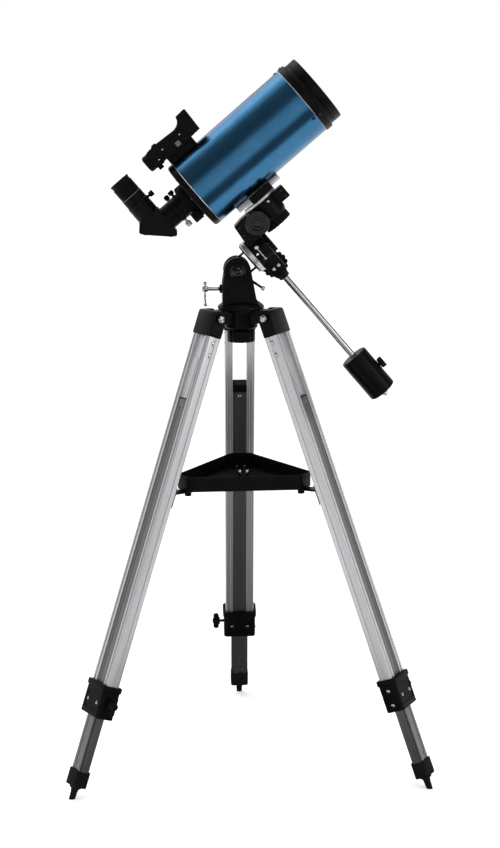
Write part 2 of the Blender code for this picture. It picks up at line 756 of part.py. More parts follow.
def ra_lock_lever():
    frame = head_frame(-3 * MM, 0, 9 * MM)
    stud = [
        (0, -19 * MM), (2 * MM, -19 * MM), (2 * MM, -25 * MM), (3.2 * MM, -25.2 * MM),
        (3.2 * MM, -28.8 * MM), (2.4 * MM, -29.6 * MM), (0, -29.6 * MM),
    ]
    lever = turned("ra_lock_lever", stud, frame @ Z_TO_Y, "chrome", 18)
    arm = frame @ Matrix.Translation((0, -27 * MM, 0))
    join(lever, cylinder("ra_arm", 1.2 * MM, -20 * MM, 0, arm, segments=10))
    join(lever, ball("ra_arm_ball", 2.3 * MM, (0, 0, -20.5 * MM), arm))


def dec_housing():
    """Bolted on the polar housing. The declination shaft turns in its drum."""
    dec = head_frame(DEC_U)
    drum = [
        (0, 54.3 * MM), (23.2 * MM, 54.3 * MM), (24 * MM, 53.5 * MM), (24 * MM, 28 * MM),
        (21 * MM, 22 * MM), (0, 22 * MM),
    ]
    housing = turned("dec_housing", drum, dec, "black_paint", 36)
    side = head_frame() @ XY_TO_XZ
    neck = [
        (-13 * MM, 12 * MM), (21 * MM, 12 * MM), (22 * MM, 22.3 * MM), (46 * MM, 22.6 * MM),
        (46 * MM, 53.8 * MM),
        (6 * MM, 53.8 * MM), (-8.5 * MM, 51.5 * MM),
    ]
    join(housing, extruded("neck", [neck], -19 * MM, 19 * MM, side))
    block = box(
        "worm_housing", (58 * MM, -14 * MM, 33 * MM), (84 * MM, 14 * MM, 53 * MM),
        head_frame(), bevel=1.5 * MM,
    )
    join(housing, block)
    polar = head_frame() @ Z_TO_X
    cut(housing, cylinder("saddle_cut", 24.8 * MM, -30 * MM, 21.5 * MM, polar, segments=36))
    cut(housing, cylinder("dec_bore", DEC_SHAFT_RADIUS + GAP, 0, 70 * MM, dec))
    worm = head_frame(DEC_WORM_U, 0, DEC_WORM_W) @ Z_TO_Y
    bore = WORM_SHAFT_RADIUS + GAP
    cut(housing, cylinder("dec_worm_bore", bore, -40 * MM, 8 * MM, worm, segments=20))


def dec_slow_motion_knob():
    frame = head_frame(DEC_WORM_U, 0, DEC_WORM_W) @ Z_TO_Y
    profile = [
        (0, 6 * MM), (WORM_SHAFT_RADIUS, 6 * MM), (WORM_SHAFT_RADIUS, -24.4 * MM),
        (17 * MM, -24.4 * MM), (18 * MM, -25.4 * MM), (18 * MM, -33 * MM), (16.5 * MM, -35 * MM),
        (0, -35.4 * MM),
    ]
    turned("dec_slow_motion_knob", profile, frame, "black_plastic", 32)


def dec_setting_circle():
    bore = DEC_SHAFT_RADIUS + GAP
    r = DEC_CIRCLE_RADIUS
    profile = [
        (bore, 58.5 * MM), (r - 0.6 * MM, 58.5 * MM), (r, 57.9 * MM), (r, 55.2 * MM),
        (r - 0.6 * MM, 54.6 * MM), (bore, 54.6 * MM),
    ]
    turned("dec_setting_circle", profile, head_frame(DEC_U), "silver_paint", 32, closed=True)


def saddle():
    """The clamp for the dovetail bar, in one piece with the declination shaft."""
    plate = box(
        "saddle", (34.5 * MM, -24 * MM, 58.8 * MM), (72.5 * MM, 24 * MM, 69.2 * MM),
        head_frame(), "black_paint", 0.8 * MM,
    )
    r = DEC_SHAFT_RADIUS
    shaft = [(0, 60 * MM), (r, 60 * MM), (r, 14.5 * MM), (r - 1 * MM, 13.5 * MM), (0, 13.5 * MM)]
    join(plate, turned("dec_shaft", shaft, head_frame(DEC_U), steps=32))
    cut(plate, dovetail("channel", 0 * MM, 110 * MM, 0.4 * MM))


def dovetail(name, start, end, grow, material=None):
    """A bar along u, wider on the side away from the tube."""
    low = 61.5 * MM - grow
    high = 69.4 * MM + (5 * MM if grow else 0)
    wide = 17 * MM + grow
    slope = 4 * MM / (7.9 * MM)
    narrow = wide - slope * (high - low)
    outline = [(-wide, low), (wide, low), (narrow, high), (-narrow, high)]
    return extruded(name, [outline], start, end, head_frame() @ PERMUTE_YZX, material)


def dec_lock_nut():
    frame = head_frame(DEC_U)
    grip = [knurled(20.5 * MM, 1.2 * MM, 18)]
    nut = extruded("dec_lock_nut", grip, 11 * MM, 21.6 * MM, frame, "black_plastic")
    bore = DEC_SHAFT_RADIUS + GAP
    cut(nut, cylinder("dec_nut_pocket", bore, 13.2 * MM, 30 * MM, frame))


def counterweight_shaft():
    r = WEIGHT_SHAFT_RADIUS
    end = WEIGHT_TOP - WEIGHT_LENGTH - 5.5 * MM
    profile = [
        (0, -39 * MM), (r - 0.8 * MM, -39 * MM), (r, -39.8 * MM), (r, end + 1 * MM),
        (r - 1 * MM, end), (0, end),
    ]
    turned("counterweight_shaft", profile, head_frame(), "chrome", 28)


def counterweight():
    bore = WEIGHT_SHAFT_RADIUS + GAP
    bottom = WEIGHT_TOP - WEIGHT_LENGTH
    r = WEIGHT_RADIUS
    ease = 3 * MM
    upper = arc(r - ease, WEIGHT_TOP - ease, ease, 90, 0, 3)
    lower = arc(r - ease, bottom + ease, ease, 0, -90, 3)
    profile = [(bore, WEIGHT_TOP)] + upper + lower + [(bore, bottom)]
    weight = turned(
        "counterweight", profile, head_frame(), "black_paint", 28, closed=True
    )
    screw = weight_screw_frame()
    cut(weight, cylinder("weight_screw_bore", 3.2 * MM, 2 * MM, 30 * MM, screw, segments=20))


def weight_screw_frame():
    return head_frame(0, 0, WEIGHT_TOP - WEIGHT_LENGTH * 0.5) @ Z_TO_X


def counterweight_knob():
    frame = weight_screw_frame()
    grip = [knurled(8.5 * MM, 0.9 * MM, 10)]
    knob = extruded(
        "counterweight_knob", grip, 23 * MM, 30 * MM, frame, "black_plastic"
    )
    shank = [
        (0, 29 * MM), (5 * MM, 29 * MM), (5 * MM, 21.8 * MM), (2.8 * MM, 21.8 * MM),
        (2.8 * MM, 6 * MM), (0, 6 * MM),
    ]
    join(knob, turned("weight_shank", shank, frame, steps=16))


def tube_frame():
    """Z along the tube towards its front, X towards the mount."""
    return head_frame(0, 0, TUBE_W) @ Z_TO_X


def dovetail_bar():
    bevelled(dovetail("dovetail_bar", 11.5 * MM, 89 * MM, 0, "silver_paint"), 0.4 * MM, 1)


def optical_tube():
    inner = TUBE_RADIUS - TUBE_WALL
    profile = [
        (inner, TUBE_FRONT), (TUBE_RADIUS, TUBE_FRONT), (TUBE_RADIUS, TUBE_REAR),
        (inner, TUBE_REAR),
    ]
    turned("optical_tube", profile, tube_frame(), "blue_paint", 48, closed=True)


def front_cell():
    lip = TUBE_RADIUS - TUBE_WALL - GAP
    start = TUBE_FRONT + GAP
    profile = [
        (47 * MM, FRONT_END), (51.8 * MM, FRONT_END), (53 * MM, FRONT_END - 1.2 * MM),
        (53 * MM, 197.5 * MM), (56.3 * MM, 196 * MM), (56.3 * MM, start + 1 * MM),
        (55.3 * MM, start), (lip, start), (lip, start - 7 * MM), (44.5 * MM, start - 7 * MM),
        (44.5 * MM, 190 * MM), (47 * MM, 190 * MM),
    ]
    turned("front_cell", profile, tube_frame(), "black_paint", 36, closed=True)


def corrector_lens():
    """A thick meniscus, hollow towards the sky."""
    edge = 46.6 * MM
    rim = 202.0 * MM
    sag = 5.0 * MM
    thickness = 9.0 * MM
    steps = 4
    front = [(edge * i / steps, rim - sag * (1 - (i / steps) ** 2)) for i in range(steps + 1)]
    back = [(radius, height - thickness) for radius, height in reversed(front)]
    back[0] = (edge, rim - thickness)
    turned("corrector_lens", front + back, tube_frame(), "glass", 32)


def rear_cell():
    lip = TUBE_RADIUS - TUBE_WALL - GAP
    seat = TUBE_REAR - GAP
    r = TUBE_RADIUS - 0.4 * MM
    ease = 4 * MM
    corner = arc(r - ease, CELL_REAR + ease, ease, 0, -90, 3)
    profile = [
        (16.6 * MM, -12 * MM), (44 * MM, -12 * MM), (44 * MM, -9 * MM), (lip, -9 * MM),
        (lip, seat), (r, seat),
    ]
    profile += corner + [(16.6 * MM, CELL_REAR)]
    cell = turned("rear_cell", profile, tube_frame(), "black_paint", 36, closed=True)
    knob = focus_frame()
    cut(cell, cylinder("focus_bore", 3.3 * MM, -40 * MM, 0, knob, segments=20))


def primary_mirror():
    r = 50.5 * MM
    back = -8.4 * MM
    edge = 3.0 * MM
    sag = 3.2 * MM
    hole = 14.0 * MM
    steps = 3
    spread = [hole + (r - hole) * i / steps for i in range(steps + 1)]
    face = [(radius, edge - sag * (1 - (radius / r) ** 2)) for radius in spread]
    turned(
        "primary_mirror", face + [(r, back), (hole, back)], tube_frame(), "mirror", 32,
        closed=True,
    )


def visual_back():
    """The threaded ring and tube that hold the star diagonal."""
    bore = NOSE_RADIUS + GAP
    frame = tube_frame()
    end = VISUAL_BACK_END
    profile = [
        (bore, CELL_REAR - GAP), (25.5 * MM, CELL_REAR - GAP), (25.5 * MM, -39.5 * MM),
        (24.5 * MM, -40.5 * MM), (18.5 * MM, -42 * MM), (18.5 * MM, end + 1 * MM),
        (17.5 * MM, end), (bore, end),
    ]
    turned("visual_back", profile, frame, "black_paint", 28, closed=True)


def focus_frame():
    """The focus knob's axis, on the rear cell beside the visual back."""
    return tube_frame() @ Matrix.Translation((24 * MM, -26 * MM, 0))


def focus_knob():
    frame = focus_frame()
    grip = [knurled(7.8 * MM, 0.7 * MM, 14)]
    knob = extruded("focus_knob", grip, -45 * MM, -30.5 * MM, frame, "black_plastic")
    shaft = [
        (0, -14 * MM), (3 * MM, -14 * MM), (3 * MM, -27.8 * MM), (5.5 * MM, -27.8 * MM),
        (5.5 * MM, -32 * MM), (0, -32 * MM),
    ]
    join(knob, turned("focus_shaft", shaft, frame, steps=16))


def star_diagonal():
    """Turns the light through a right angle towards the eyepiece."""
    side = head_frame() @ XY_TO_XZ
    outline = [
        (-75 * MM, 102 * MM), (-75 * MM, 146 * MM), (-110 * MM, 146 * MM), (-118.5 * MM, 137 * MM),
        (-118.5 * MM, 133.5 * MM), (-82 * MM, 97.5 * MM), (-79 * MM, 97.5 * MM),
    ]
    half = 17.5 * MM
    body = extruded("star_diagonal", [outline], -half, half, side, "black_paint", 1.2 * MM)
    nose = [
        (0, -45 * MM), (NOSE_RADIUS - 0.6 * MM, -45 * MM), (NOSE_RADIUS, -45.6 * MM),
        (NOSE_RADIUS, VISUAL_BACK_END - GAP), (18 * MM, VISUAL_BACK_END - GAP),
        (18 * MM, -76 * MM), (0, -76 * MM),
    ]
    join(body, turned("nosepiece", nose, tube_frame(), steps=24))
    holder = head_frame(EYEPIECE_U)
    profile = [
        (0, HOLDER_TOP), (16.8 * MM, HOLDER_TOP), (17.5 * MM, HOLDER_TOP - 0.7 * MM),
        (17.5 * MM, 140 * MM), (0, 140 * MM),
    ]
    join(body, turned("holder", profile, holder, steps=24))
    bore = NOSE_RADIUS + GAP
    cut(body, cylinder("holder_bore", bore, 150 * MM, 190 * MM, holder))


def eyepiece():
    profile = [
        (0, EYEPIECE_TOP - 4 * MM),
        (9 * MM, EYEPIECE_TOP - 4 * MM),
        (11 * MM, EYEPIECE_TOP),
        (15.5 * MM, EYEPIECE_TOP),
        (16.5 * MM, EYEPIECE_TOP - 1.5 * MM),
        (16.5 * MM, EYEPIECE_TOP - 7 * MM),
        (15.6 * MM, EYEPIECE_TOP - 8.5 * MM),
        (16.6 * MM, HOLDER_TOP + 4 * MM),
        (16.6 * MM, HOLDER_TOP + GAP),
        (NOSE_RADIUS, HOLDER_TOP + GAP),
        (NOSE_RADIUS, 152 * MM),
        (0, 152 * MM),
    ]
    turned("eyepiece", profile, head_frame(EYEPIECE_U), "black_plastic", 24)


def red_dot_finder():
    side = head_frame() @ XY_TO_XZ
    outline = [
        (-37 * MM, 187 * MM), (-20 * MM, 190 * MM), (27 * MM, 190 * MM), (47 * MM, 191 * MM),
        (48.5 * MM, 226 * MM), (46.5 * MM, 228 * MM), (32 * MM, 227.5 * MM), (30 * MM, 225.5 * MM),
        (26 * MM, 219 * MM), (17 * MM, 214.5 * MM), (-18 * MM, 217 * MM), (-41 * MM, 214.5 * MM),
        (-45 * MM, 211 * MM), (-48 * MM, 193 * MM), (-46 * MM, 189.5 * MM),
    ]
    finder = extruded(
        "red_dot_finder", [outline], -13 * MM, 13 * MM, side, "black_plastic", 1.5 * MM
    )
    low = (-18 * MM, -11 * MM, 172 * MM)
    join(finder, box("finder_foot", low, (30 * MM, 11 * MM, 193 * MM), head_frame()))
    window = [rounded(18 * MM, 10 * MM, 2.5 * MM, 0, 221 * MM)]
    cut(finder, extruded("window", window, 15 * MM, 60 * MM, head_frame() @ PERMUTE_YZX))
    clear = TUBE_RADIUS + GAP
    cut(finder, cylinder("tube_clear", clear, -80 * MM, 80 * MM, tube_frame(), segments=64))


def build():
    make_materials()
    tripod_hub()
    azimuth_lock_knob()
    for name, azimuth in LEGS.items():
        leg_casting(name, azimuth)
        hinge_bolt(name, azimuth)
        leg_rails(name, azimuth)
        inner_leg(name, azimuth)
        leg_clamp(name, azimuth)
        leg_clamp_knob(name, azimuth)
        foot(name, azimuth)
        tray_bracket(name, azimuth)
    accessory_tray()
    mount_base()
    latitude_pivot_bolt()
    latitude_lock_lever()
    latitude_t_bolt()
    polar_bracket()
    polar_shaft()
    ra_setting_circle()
    polar_lock_nut()
    ra_housing()
    ra_slow_motion_knob()
    ra_lock_lever()
    dec_housing()
    dec_slow_motion_knob()
    dec_setting_circle()
    saddle()
    dec_lock_nut()
    counterweight_shaft()
    counterweight()
    counterweight_knob()
    dovetail_bar()
    optical_tube()
    front_cell()
    corrector_lens()
    rear_cell()
    primary_mirror()
    visual_back()
    focus_knob()
    star_diagonal()
    eyepiece()
    red_dot_finder()


clear_scene()
PARTS = new_collection("telescope_on_tripod")
CUTTERS = new_collection("cutters", hidden=True)
build()
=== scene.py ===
"""Looks of the small telescope on its equatorial mount and aluminium tripod.

Every piece is modelled in its body's own frame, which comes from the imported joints: the tripod's
axis, each leg's line and the polar and declination axes. Lengths are numbers of millimetres
times MM. Profiles are (radius, height) points, and outlines are (x, y) points of a flat shape.
"""

import json
import math

import bmesh
import bpy
from mathutils import Matrix, Vector


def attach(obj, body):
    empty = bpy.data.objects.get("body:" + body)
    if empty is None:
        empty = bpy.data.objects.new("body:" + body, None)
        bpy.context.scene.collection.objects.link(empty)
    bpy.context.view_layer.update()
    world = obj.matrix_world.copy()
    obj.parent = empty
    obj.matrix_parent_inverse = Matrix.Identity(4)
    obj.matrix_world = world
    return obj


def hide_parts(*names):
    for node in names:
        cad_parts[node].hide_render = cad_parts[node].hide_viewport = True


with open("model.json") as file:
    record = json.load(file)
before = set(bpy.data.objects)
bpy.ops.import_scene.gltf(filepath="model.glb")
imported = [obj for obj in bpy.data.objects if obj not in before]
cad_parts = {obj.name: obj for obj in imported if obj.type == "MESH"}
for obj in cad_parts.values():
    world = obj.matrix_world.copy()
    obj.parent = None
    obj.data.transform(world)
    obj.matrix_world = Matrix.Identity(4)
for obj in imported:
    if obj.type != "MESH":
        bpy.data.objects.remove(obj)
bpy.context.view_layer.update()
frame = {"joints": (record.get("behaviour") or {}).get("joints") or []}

MM = 0.001
GAP = 0.3 * MM
JOINTS = {joint["name"]: joint for joint in frame["joints"]}
LEGS = ("back", "left", "right")

# Tripod
LEG_PIVOT_TO_CLAMP = 584 * MM
LEG_TILT = math.radians(20.27)
RAIL_WIDTH = 12 * MM
RAIL_DEPTH = 20.5 * MM
RAIL_GAP = 22 * MM
RAIL_START = 28.3 * MM
RAIL_END = 600 * MM
CHANNEL_DEPTH = 3 * MM
CHANNEL_WIDTH = 12.4 * MM
INNER_LEG_START = 138 * MM
INNER_LEG_END = 699.5 * MM
INNER_LEG_DEPTH = 17.6 * MM
CLAMP_START = 560 * MM
CLAMP_END = 608 * MM
FOOT_START = 691 * MM
FOOT_END = 716 * MM
LEG_LENGTH = 735.5 * MM
HUB_TOP = 700 * MM
HUB_BOTTOM = 671 * MM
HUB_RADIUS = 24.5 * MM
PIVOT_RADIUS = 49.8 * MM
PIVOT_HEIGHT = 690 * MM
CASTING_WIDTH = 48 * MM
CASTING_RISE = 11.5 * MM
TRAY_TOP = 459 * MM
TRAY_HEIGHT = 22 * MM
TRAY_REACH = 106 * MM
TRAY_CORNER = 33 * MM

# Equatorial head
PIVOT_U = -47 * MM
DEC_U = 45 * MM
WORM_W = -33 * MM
DEC_WORM_U = 21 * MM
DEC_WORM_W = 35.2 * MM
SHAFT_RADIUS = 4.8 * MM
WEIGHT_RADIUS = 21.4 * MM
WEIGHT_TOP = -211.5 * MM
WEIGHT_BOTTOM = -281.5 * MM
T_BOLT_HEIGHT = 729.7 * MM

# Telescope
TUBE_W = 124.7 * MM
TUBE_RADIUS = 55 * MM
TUBE_INSIDE = 53.2 * MM
TUBE_REAR = -16.7 * MM
TUBE_FRONT = 184.7 * MM
FRONT_END = 215 * MM
CELL_REAR = -27.5 * MM
VISUAL_BACK_END = -60.5 * MM
NOSE_RADIUS = 15.7 * MM
EYEPIECE_U = -92.3 * MM
HOLDER_TOP = 171 * MM
EYEPIECE_TOP = 212 * MM

PERMUTE_YZX = Matrix(((0, 0, 1, 0), (1, 0, 0, 0), (0, 1, 0, 0), (0, 0, 0, 1)))
Z_TO_X = Matrix.Rotation(math.radians(90), 4, "Y")
Z_TO_MINUS_X = Matrix.Rotation(math.radians(-90), 4, "Y")
Z_TO_Y = Matrix.Rotation(math.radians(-90), 4, "X")
Z_TO_MINUS_Y = Matrix.Rotation(math.radians(90), 4, "X")
XY_TO_XZ = Matrix.Rotation(math.radians(90), 4, "X")


# ---------------------------------------------------------------- frames


def axis_of(joint):
    return Vector(JOINTS[joint]["axis"]).normalized()


def point_on(joint):
    return Vector(JOINTS[joint]["pos_m"])


def frame_from(origin, x, y, z):
    matrix = Matrix((x, y, z)).transposed().to_4x4()
    matrix.translation = origin
    return matrix


def shifted(matrix, x=0.0, y=0.0, z=0.0):
    return matrix @ Matrix.Translation((x, y, z))


POLAR = axis_of("right_ascension")
DEC = axis_of("declination")
HEAD = frame_from(point_on("right_ascension"), POLAR, DEC.cross(POLAR), DEC)
TRIPOD_AXIS = point_on("azimuth")
TRIPOD = Matrix.Translation((TRIPOD_AXIS.x, TRIPOD_AXIS.y, 0))
TUBE = shifted(HEAD, z=TUBE_W) @ Z_TO_X
PIVOT = point_on("latitude")


def leg_frame(name):
    """Origin on the hinge, X across the leg, Y towards the tripod's axis, Z up the leg."""
    down = axis_of("leg_extend_" + name)
    across = axis_of("leg_clamp_turn_" + name)
    origin = point_on("leg_clamp_turn_" + name) - down * LEG_PIVOT_TO_CLAMP
    return frame_from(origin, across, (-down).cross(across), -down)


def leg_upright_frame(name):
    """X outwards from the tripod's axis and Z up."""
    across = axis_of("leg_clamp_turn_" + name)
    up = Vector((0, 0, 1))
    return frame_from(TRIPOD.translation, across.cross(up), across, up)


def head(u=0.0, v=0.0, w=0.0):
    return shifted(HEAD, u, v, w)


# ---------------------------------------------------------------- modelling


def new_object(mesh, matrix):
    obj = bpy.data.objects.new(mesh.name, mesh)
    bpy.context.scene.collection.objects.link(obj)
    obj.matrix_world = matrix
    return obj


def object_of(bm, matrix):
    bmesh.ops.recalc_face_normals(bm, faces=bm.faces)
    mesh = bpy.data.meshes.new("part")
    bm.to_mesh(mesh)
    bm.free()
    return new_object(mesh, matrix)


def applied(obj):
    """Bake the object's modifiers into its mesh."""
    graph = bpy.context.evaluated_depsgraph_get()
    mesh = bpy.data.meshes.new_from_object(obj.evaluated_get(graph))
    old = obj.data
    obj.modifiers.clear()
    obj.data = mesh
    if not old.users:
        bpy.data.meshes.remove(old)
    return obj


def bevelled(obj, width, segments=3, angle=50):
    modifier = obj.modifiers.new("bevel", "BEVEL")
    modifier.width = width
    modifier.segments = segments
    modifier.limit_method = "ANGLE"
    modifier.angle_limit = math.radians(angle)
    return applied(obj)


def box(low, high, matrix, bevel=0.0):
    bm = bmesh.new()
    bmesh.ops.create_cube(bm, size=1.0)
    bmesh.ops.scale(bm, vec=[b - a for a, b in zip(low, high)], verts=bm.verts)
    bmesh.ops.translate(bm, vec=[(a + b) / 2 for a, b in zip(low, high)], verts=bm.verts)
    obj = object_of(bm, matrix)
    return bevelled(obj, bevel) if bevel else obj


def turned(profile, matrix, steps=96, closed=False):
    """Turn (radius, height) points about the frame's Z."""
    bm = bmesh.new()
    points = [bm.verts.new((radius, 0, height)) for radius, height in profile]
    edges = [bm.edges.new(pair) for pair in zip(points, points[1:])]
    if closed:
        edges.append(bm.edges.new((points[-1], points[0])))
    bmesh.ops.spin(
        bm, geom=points + edges, cent=(0, 0, 0), axis=(0, 0, 1), angle=2 * math.pi, steps=steps
    )
    bmesh.ops.remove_doubles(bm, verts=bm.verts, dist=0.000001)
    return object_of(bm, matrix)


def cylinder(radius, low, high, matrix, segments=48):
    return turned([(0, high), (radius, high), (radius, low), (0, low)], matrix, segments)


def ball(radius, centre, matrix):
    profile = arc(0, 0, radius, 90, -90, 13)
    profile = [(abs(x), y) for x, y in profile]
    return turned(profile, shifted(matrix, *centre), 32)


def extruded(outlines, low, high, matrix, bevel=0.0, segments=2):
    """Extrude closed outlines in the frame's XY plane along its Z. Inner outlines are holes."""
    curve = bpy.data.curves.new("outline", "CURVE")
    curve.dimensions = "2D"
    curve.fill_mode = "BOTH"
    curve.extrude = (high - low) / 2
    for outline in outlines:
        spline = curve.splines.new("POLY")
        spline.points.add(len(outline) - 1)
        for point, (x, y) in zip(spline.points, outline):
            point.co = (x, y, 0, 1)
        spline.use_cyclic_u = True
    guide = bpy.data.objects.new("guide", curve)
    bpy.context.scene.collection.objects.link(guide)
    graph = bpy.context.evaluated_depsgraph_get()
    mesh = bpy.data.meshes.new_from_object(guide.evaluated_get(graph))
    bpy.data.objects.remove(guide)
    bpy.data.curves.remove(curve)
    bm = bmesh.new()
    bm.from_mesh(mesh)
    bpy.data.meshes.remove(mesh)
    bmesh.ops.remove_doubles(bm, verts=bm.verts, dist=0.000001)
    bmesh.ops.translate(bm, vec=(0, 0, (low + high) / 2), verts=bm.verts)
    bmesh.ops.dissolve_limit(
        bm, angle_limit=math.radians(0.5), verts=bm.verts, edges=bm.edges
    )
    obj = object_of(bm, matrix)
    return bevelled(obj, bevel, segments) if bevel else obj


def boolean(obj, tools, operation):
    for tool in tools:
        modifier = obj.modifiers.new(operation.lower(), "BOOLEAN")
        modifier.operation = operation
        modifier.object = tool
        modifier.solver = "EXACT"
    applied(obj)
    for tool in tools:
        bpy.data.objects.remove(tool)
    return obj


def cut(obj, *tools):
    return boolean(obj, tools, "DIFFERENCE")


def join(obj, *tools):
    return boolean(obj, tools, "UNION")


def arc(cx, cy, radius, start, end, count=9):
    """Points on a circle from one angle in degrees to another."""
    angles = [math.radians(start + (end - start) * i / (count - 1)) for i in range(count)]
    return [(cx + radius * math.cos(a), cy + radius * math.sin(a)) for a in angles]


def rounded(width, height, radius, cx=0.0, cy=0.0, count=7):
    """A rectangle's outline with round corners."""
    x = width / 2 - radius
    y = height / 2 - radius
    points = []
    for px, py, start in ((x, y, 0), (-x, y, 90), (-x, -y, 180), (x, -y, 270)):
        points += arc(cx + px, cy + py, radius, start, start + 90, count)
    return points


def knurled(radius, depth, lobes, sharp=1.0):
    """The outline of a grip with flutes; a low sharp value makes them narrow."""
    count = lobes * 8
    turns = [2 * math.pi * i / count for i in range(count)]
    radii = [radius - depth * (0.5 - 0.5 * math.cos(lobes * a)) ** sharp for a in turns]
    return [(r * math.cos(a), r * math.sin(a)) for r, a in zip(radii, turns)]


def grooved(radius, high, low, count, depth):
    """Profile points down a cylinder with evenly spaced fine grooves."""
    pitch = (high - low) / count
    points = [(radius, high)]
    for index in range(count):
        top = high - (index + 0.3) * pitch
        points += [
            (radius, top), (radius - depth, top - 0.15 * pitch),
            (radius - depth, top - 0.4 * pitch), (radius, top - 0.55 * pitch),
        ]
    return points + [(radius, low)]


def marks(matrix, radius, low, lengths, count, width):
    """Raised printed ticks round a cylinder: lengths repeat from tick to tick."""
    bm = bmesh.new()
    height = 0.08 * MM
    for index in range(count):
        length = lengths[index % len(lengths)]
        made = bmesh.ops.create_cube(bm, size=1.0)["verts"]
        bmesh.ops.scale(bm, vec=(height * 2, width, length), verts=made)
        bmesh.ops.translate(bm, vec=(radius, 0, low + length / 2), verts=made)
        turn = Matrix.Rotation(2 * math.pi * index / count, 3, "Z")
        bmesh.ops.rotate(bm, cent=(0, 0, 0), matrix=turn, verts=made)
    return object_of(bm, matrix)


# ---------------------------------------------------------------- materials


class Nodes:
    """A node tree with short calls for the few kinds of node used here."""

    def __init__(self, name):
        self.material = bpy.data.materials.new(name)
        self.material.use_nodes = True
        self.tree = self.material.node_tree
        self.shader = self.tree.nodes["Principled BSDF"]
        self.coordinates = self.tree.nodes.new("ShaderNodeTexCoord").outputs["Object"]

    def link(self, source, target):
        self.tree.links.new(source, target)

    def noise(self, scale, detail=3.0, stretch=(1, 1, 1)):
        mapping = self.tree.nodes.new("ShaderNodeMapping")
        mapping.inputs["Scale"].default_value = stretch
        self.link(self.coordinates, mapping.inputs["Vector"])
        noise = self.tree.nodes.new("ShaderNodeTexNoise")
        noise.inputs["Scale"].default_value = scale
        noise.inputs["Detail"].default_value = detail
        self.link(mapping.outputs["Vector"], noise.inputs["Vector"])
        return noise.outputs["Fac"]

    def ramp(self, source, low, high, start=0.3, end=0.7):
        ramp = self.tree.nodes.new("ShaderNodeValToRGB")
        ramp.color_ramp.elements[0].position = start
        ramp.color_ramp.elements[0].color = (*low, 1)
        ramp.color_ramp.elements[1].position = end
        ramp.color_ramp.elements[1].color = (*high, 1)
        self.link(source, ramp.inputs["Fac"])
        return ramp.outputs["Color"]

    def range(self, source, low, high):
        node = self.tree.nodes.new("ShaderNodeMapRange")
        node.inputs["From Min"].default_value = 0.3
        node.inputs["From Max"].default_value = 0.7
        node.inputs["To Min"].default_value = low
        node.inputs["To Max"].default_value = high
        self.link(source, node.inputs["Value"])
        return node.outputs["Result"]

    def bump(self, source, distance, strength):
        bump = self.tree.nodes.new("ShaderNodeBump")
        bump.inputs["Distance"].default_value = distance
        bump.inputs["Strength"].default_value = strength
        self.link(source, bump.inputs["Height"])
        self.link(bump.outputs["Normal"], self.shader.inputs["Normal"])

    def set(self, **values):
        for name, value in values.items():
            self.shader.inputs[name.replace("_", " ")].default_value = value
        return self


def surface(name, dark, light, roughness, grain, depth, metallic=0.0, stretch=(1, 1, 1), **more):
    """A finish whose colour and roughness drift a little and whose grain is a fine bump."""
    nodes = Nodes(name).set(Metallic=metallic, **more)
    drift = nodes.noise(45, 4.0, stretch)
    fine = nodes.noise(grain, 2.0, stretch)
    nodes.link(nodes.ramp(drift, dark, light), nodes.shader.inputs["Base Color"])
    nodes.link(nodes.range(fine, *roughness), nodes.shader.inputs["Roughness"])
    nodes.bump(fine, depth, 0.5)
    return nodes.material


def grey(value):
    return (value, value, value * 1.03)


ALONG = (1, 1, 0.012)
MATERIALS = {
    "paint": surface("satin_black_paint", grey(0.0015), grey(0.0030), (0.28, 0.40), 1400,
                     0.00003, **{"Specular_IOR_Level": 0.07}),
    "gloss": surface("gloss_black_paint", grey(0.002), grey(0.003), (0.08, 0.14), 700, 0.00001,
                     **{"Specular_IOR_Level": 0.3}),
    "plastic": surface("black_plastic", grey(0.002), grey(0.0035), (0.40, 0.55), 2600, 0.00006,
                       **{"Specular_IOR_Level": 0.06}),
    "rubber": surface("black_rubber", grey(0.004), grey(0.007), (0.65, 0.80), 1800, 0.00006,
                      **{"Specular_IOR_Level": 0.08}),
    "aluminium": surface("drawn_aluminium", grey(0.45), grey(0.54), (0.28, 0.40), 900, 0.00002,
                         0.85, ALONG),
    # A darker, slightly rougher copy of the drawn aluminium for the inner legs and their plates: the darker
    # colour is painted shade on the lower legs.
    "shaded_aluminium": surface("aluminium_painted_shade", grey(0.13), grey(0.18), (0.34, 0.46), 900, 0.00002,
                     0.9, ALONG),
    "chrome": surface("chrome_plate", grey(0.40), grey(0.46), (0.06, 0.11), 300, 0.000001, 1.0),
    "silver": surface("satin_silver", grey(0.50), grey(0.60), (0.28, 0.40), 1100, 0.00002, 1.0),
    "bar": surface("silver_paint", grey(0.55), grey(0.62), (0.30, 0.40), 900, 0.00002, 0.4),
    "blue": surface("metallic_blue_paint", (0.032, 0.125, 0.240), (0.040, 0.145, 0.275),
                    (0.20, 0.28), 3000, 0.000015, 1.0,
                    **{"Coat_Weight": 0.05, "Coat_Roughness": 0.08}),
    "ink": surface("black_ink", grey(0.015), grey(0.03), (0.5, 0.6), 900, 0.00001),
    "white": surface("white_print", grey(0.75), grey(0.85), (0.5, 0.6), 900, 0.00001),
    "dial": surface("grey_dial", grey(0.09), grey(0.13), (0.4, 0.5), 1500, 0.00003),
    "mirror": surface("aluminised_mirror", grey(0.88), grey(0.92), (0.01, 0.02), 60, 0.0, 1.0),
    "glass": surface("coated_glass", (0.80, 0.93, 0.88), (0.84, 0.95, 0.92), (0.0, 0.01), 80,
                     0.0, **{"Transmission_Weight": 1.0, "IOR": 1.52}),
    "red_glass": surface("red_coated_glass", (0.75, 0.30, 0.25), (0.80, 0.36, 0.30),
                         (0.02, 0.03), 80, 0.0, **{"Transmission_Weight": 0.7, "IOR": 1.5}),
}


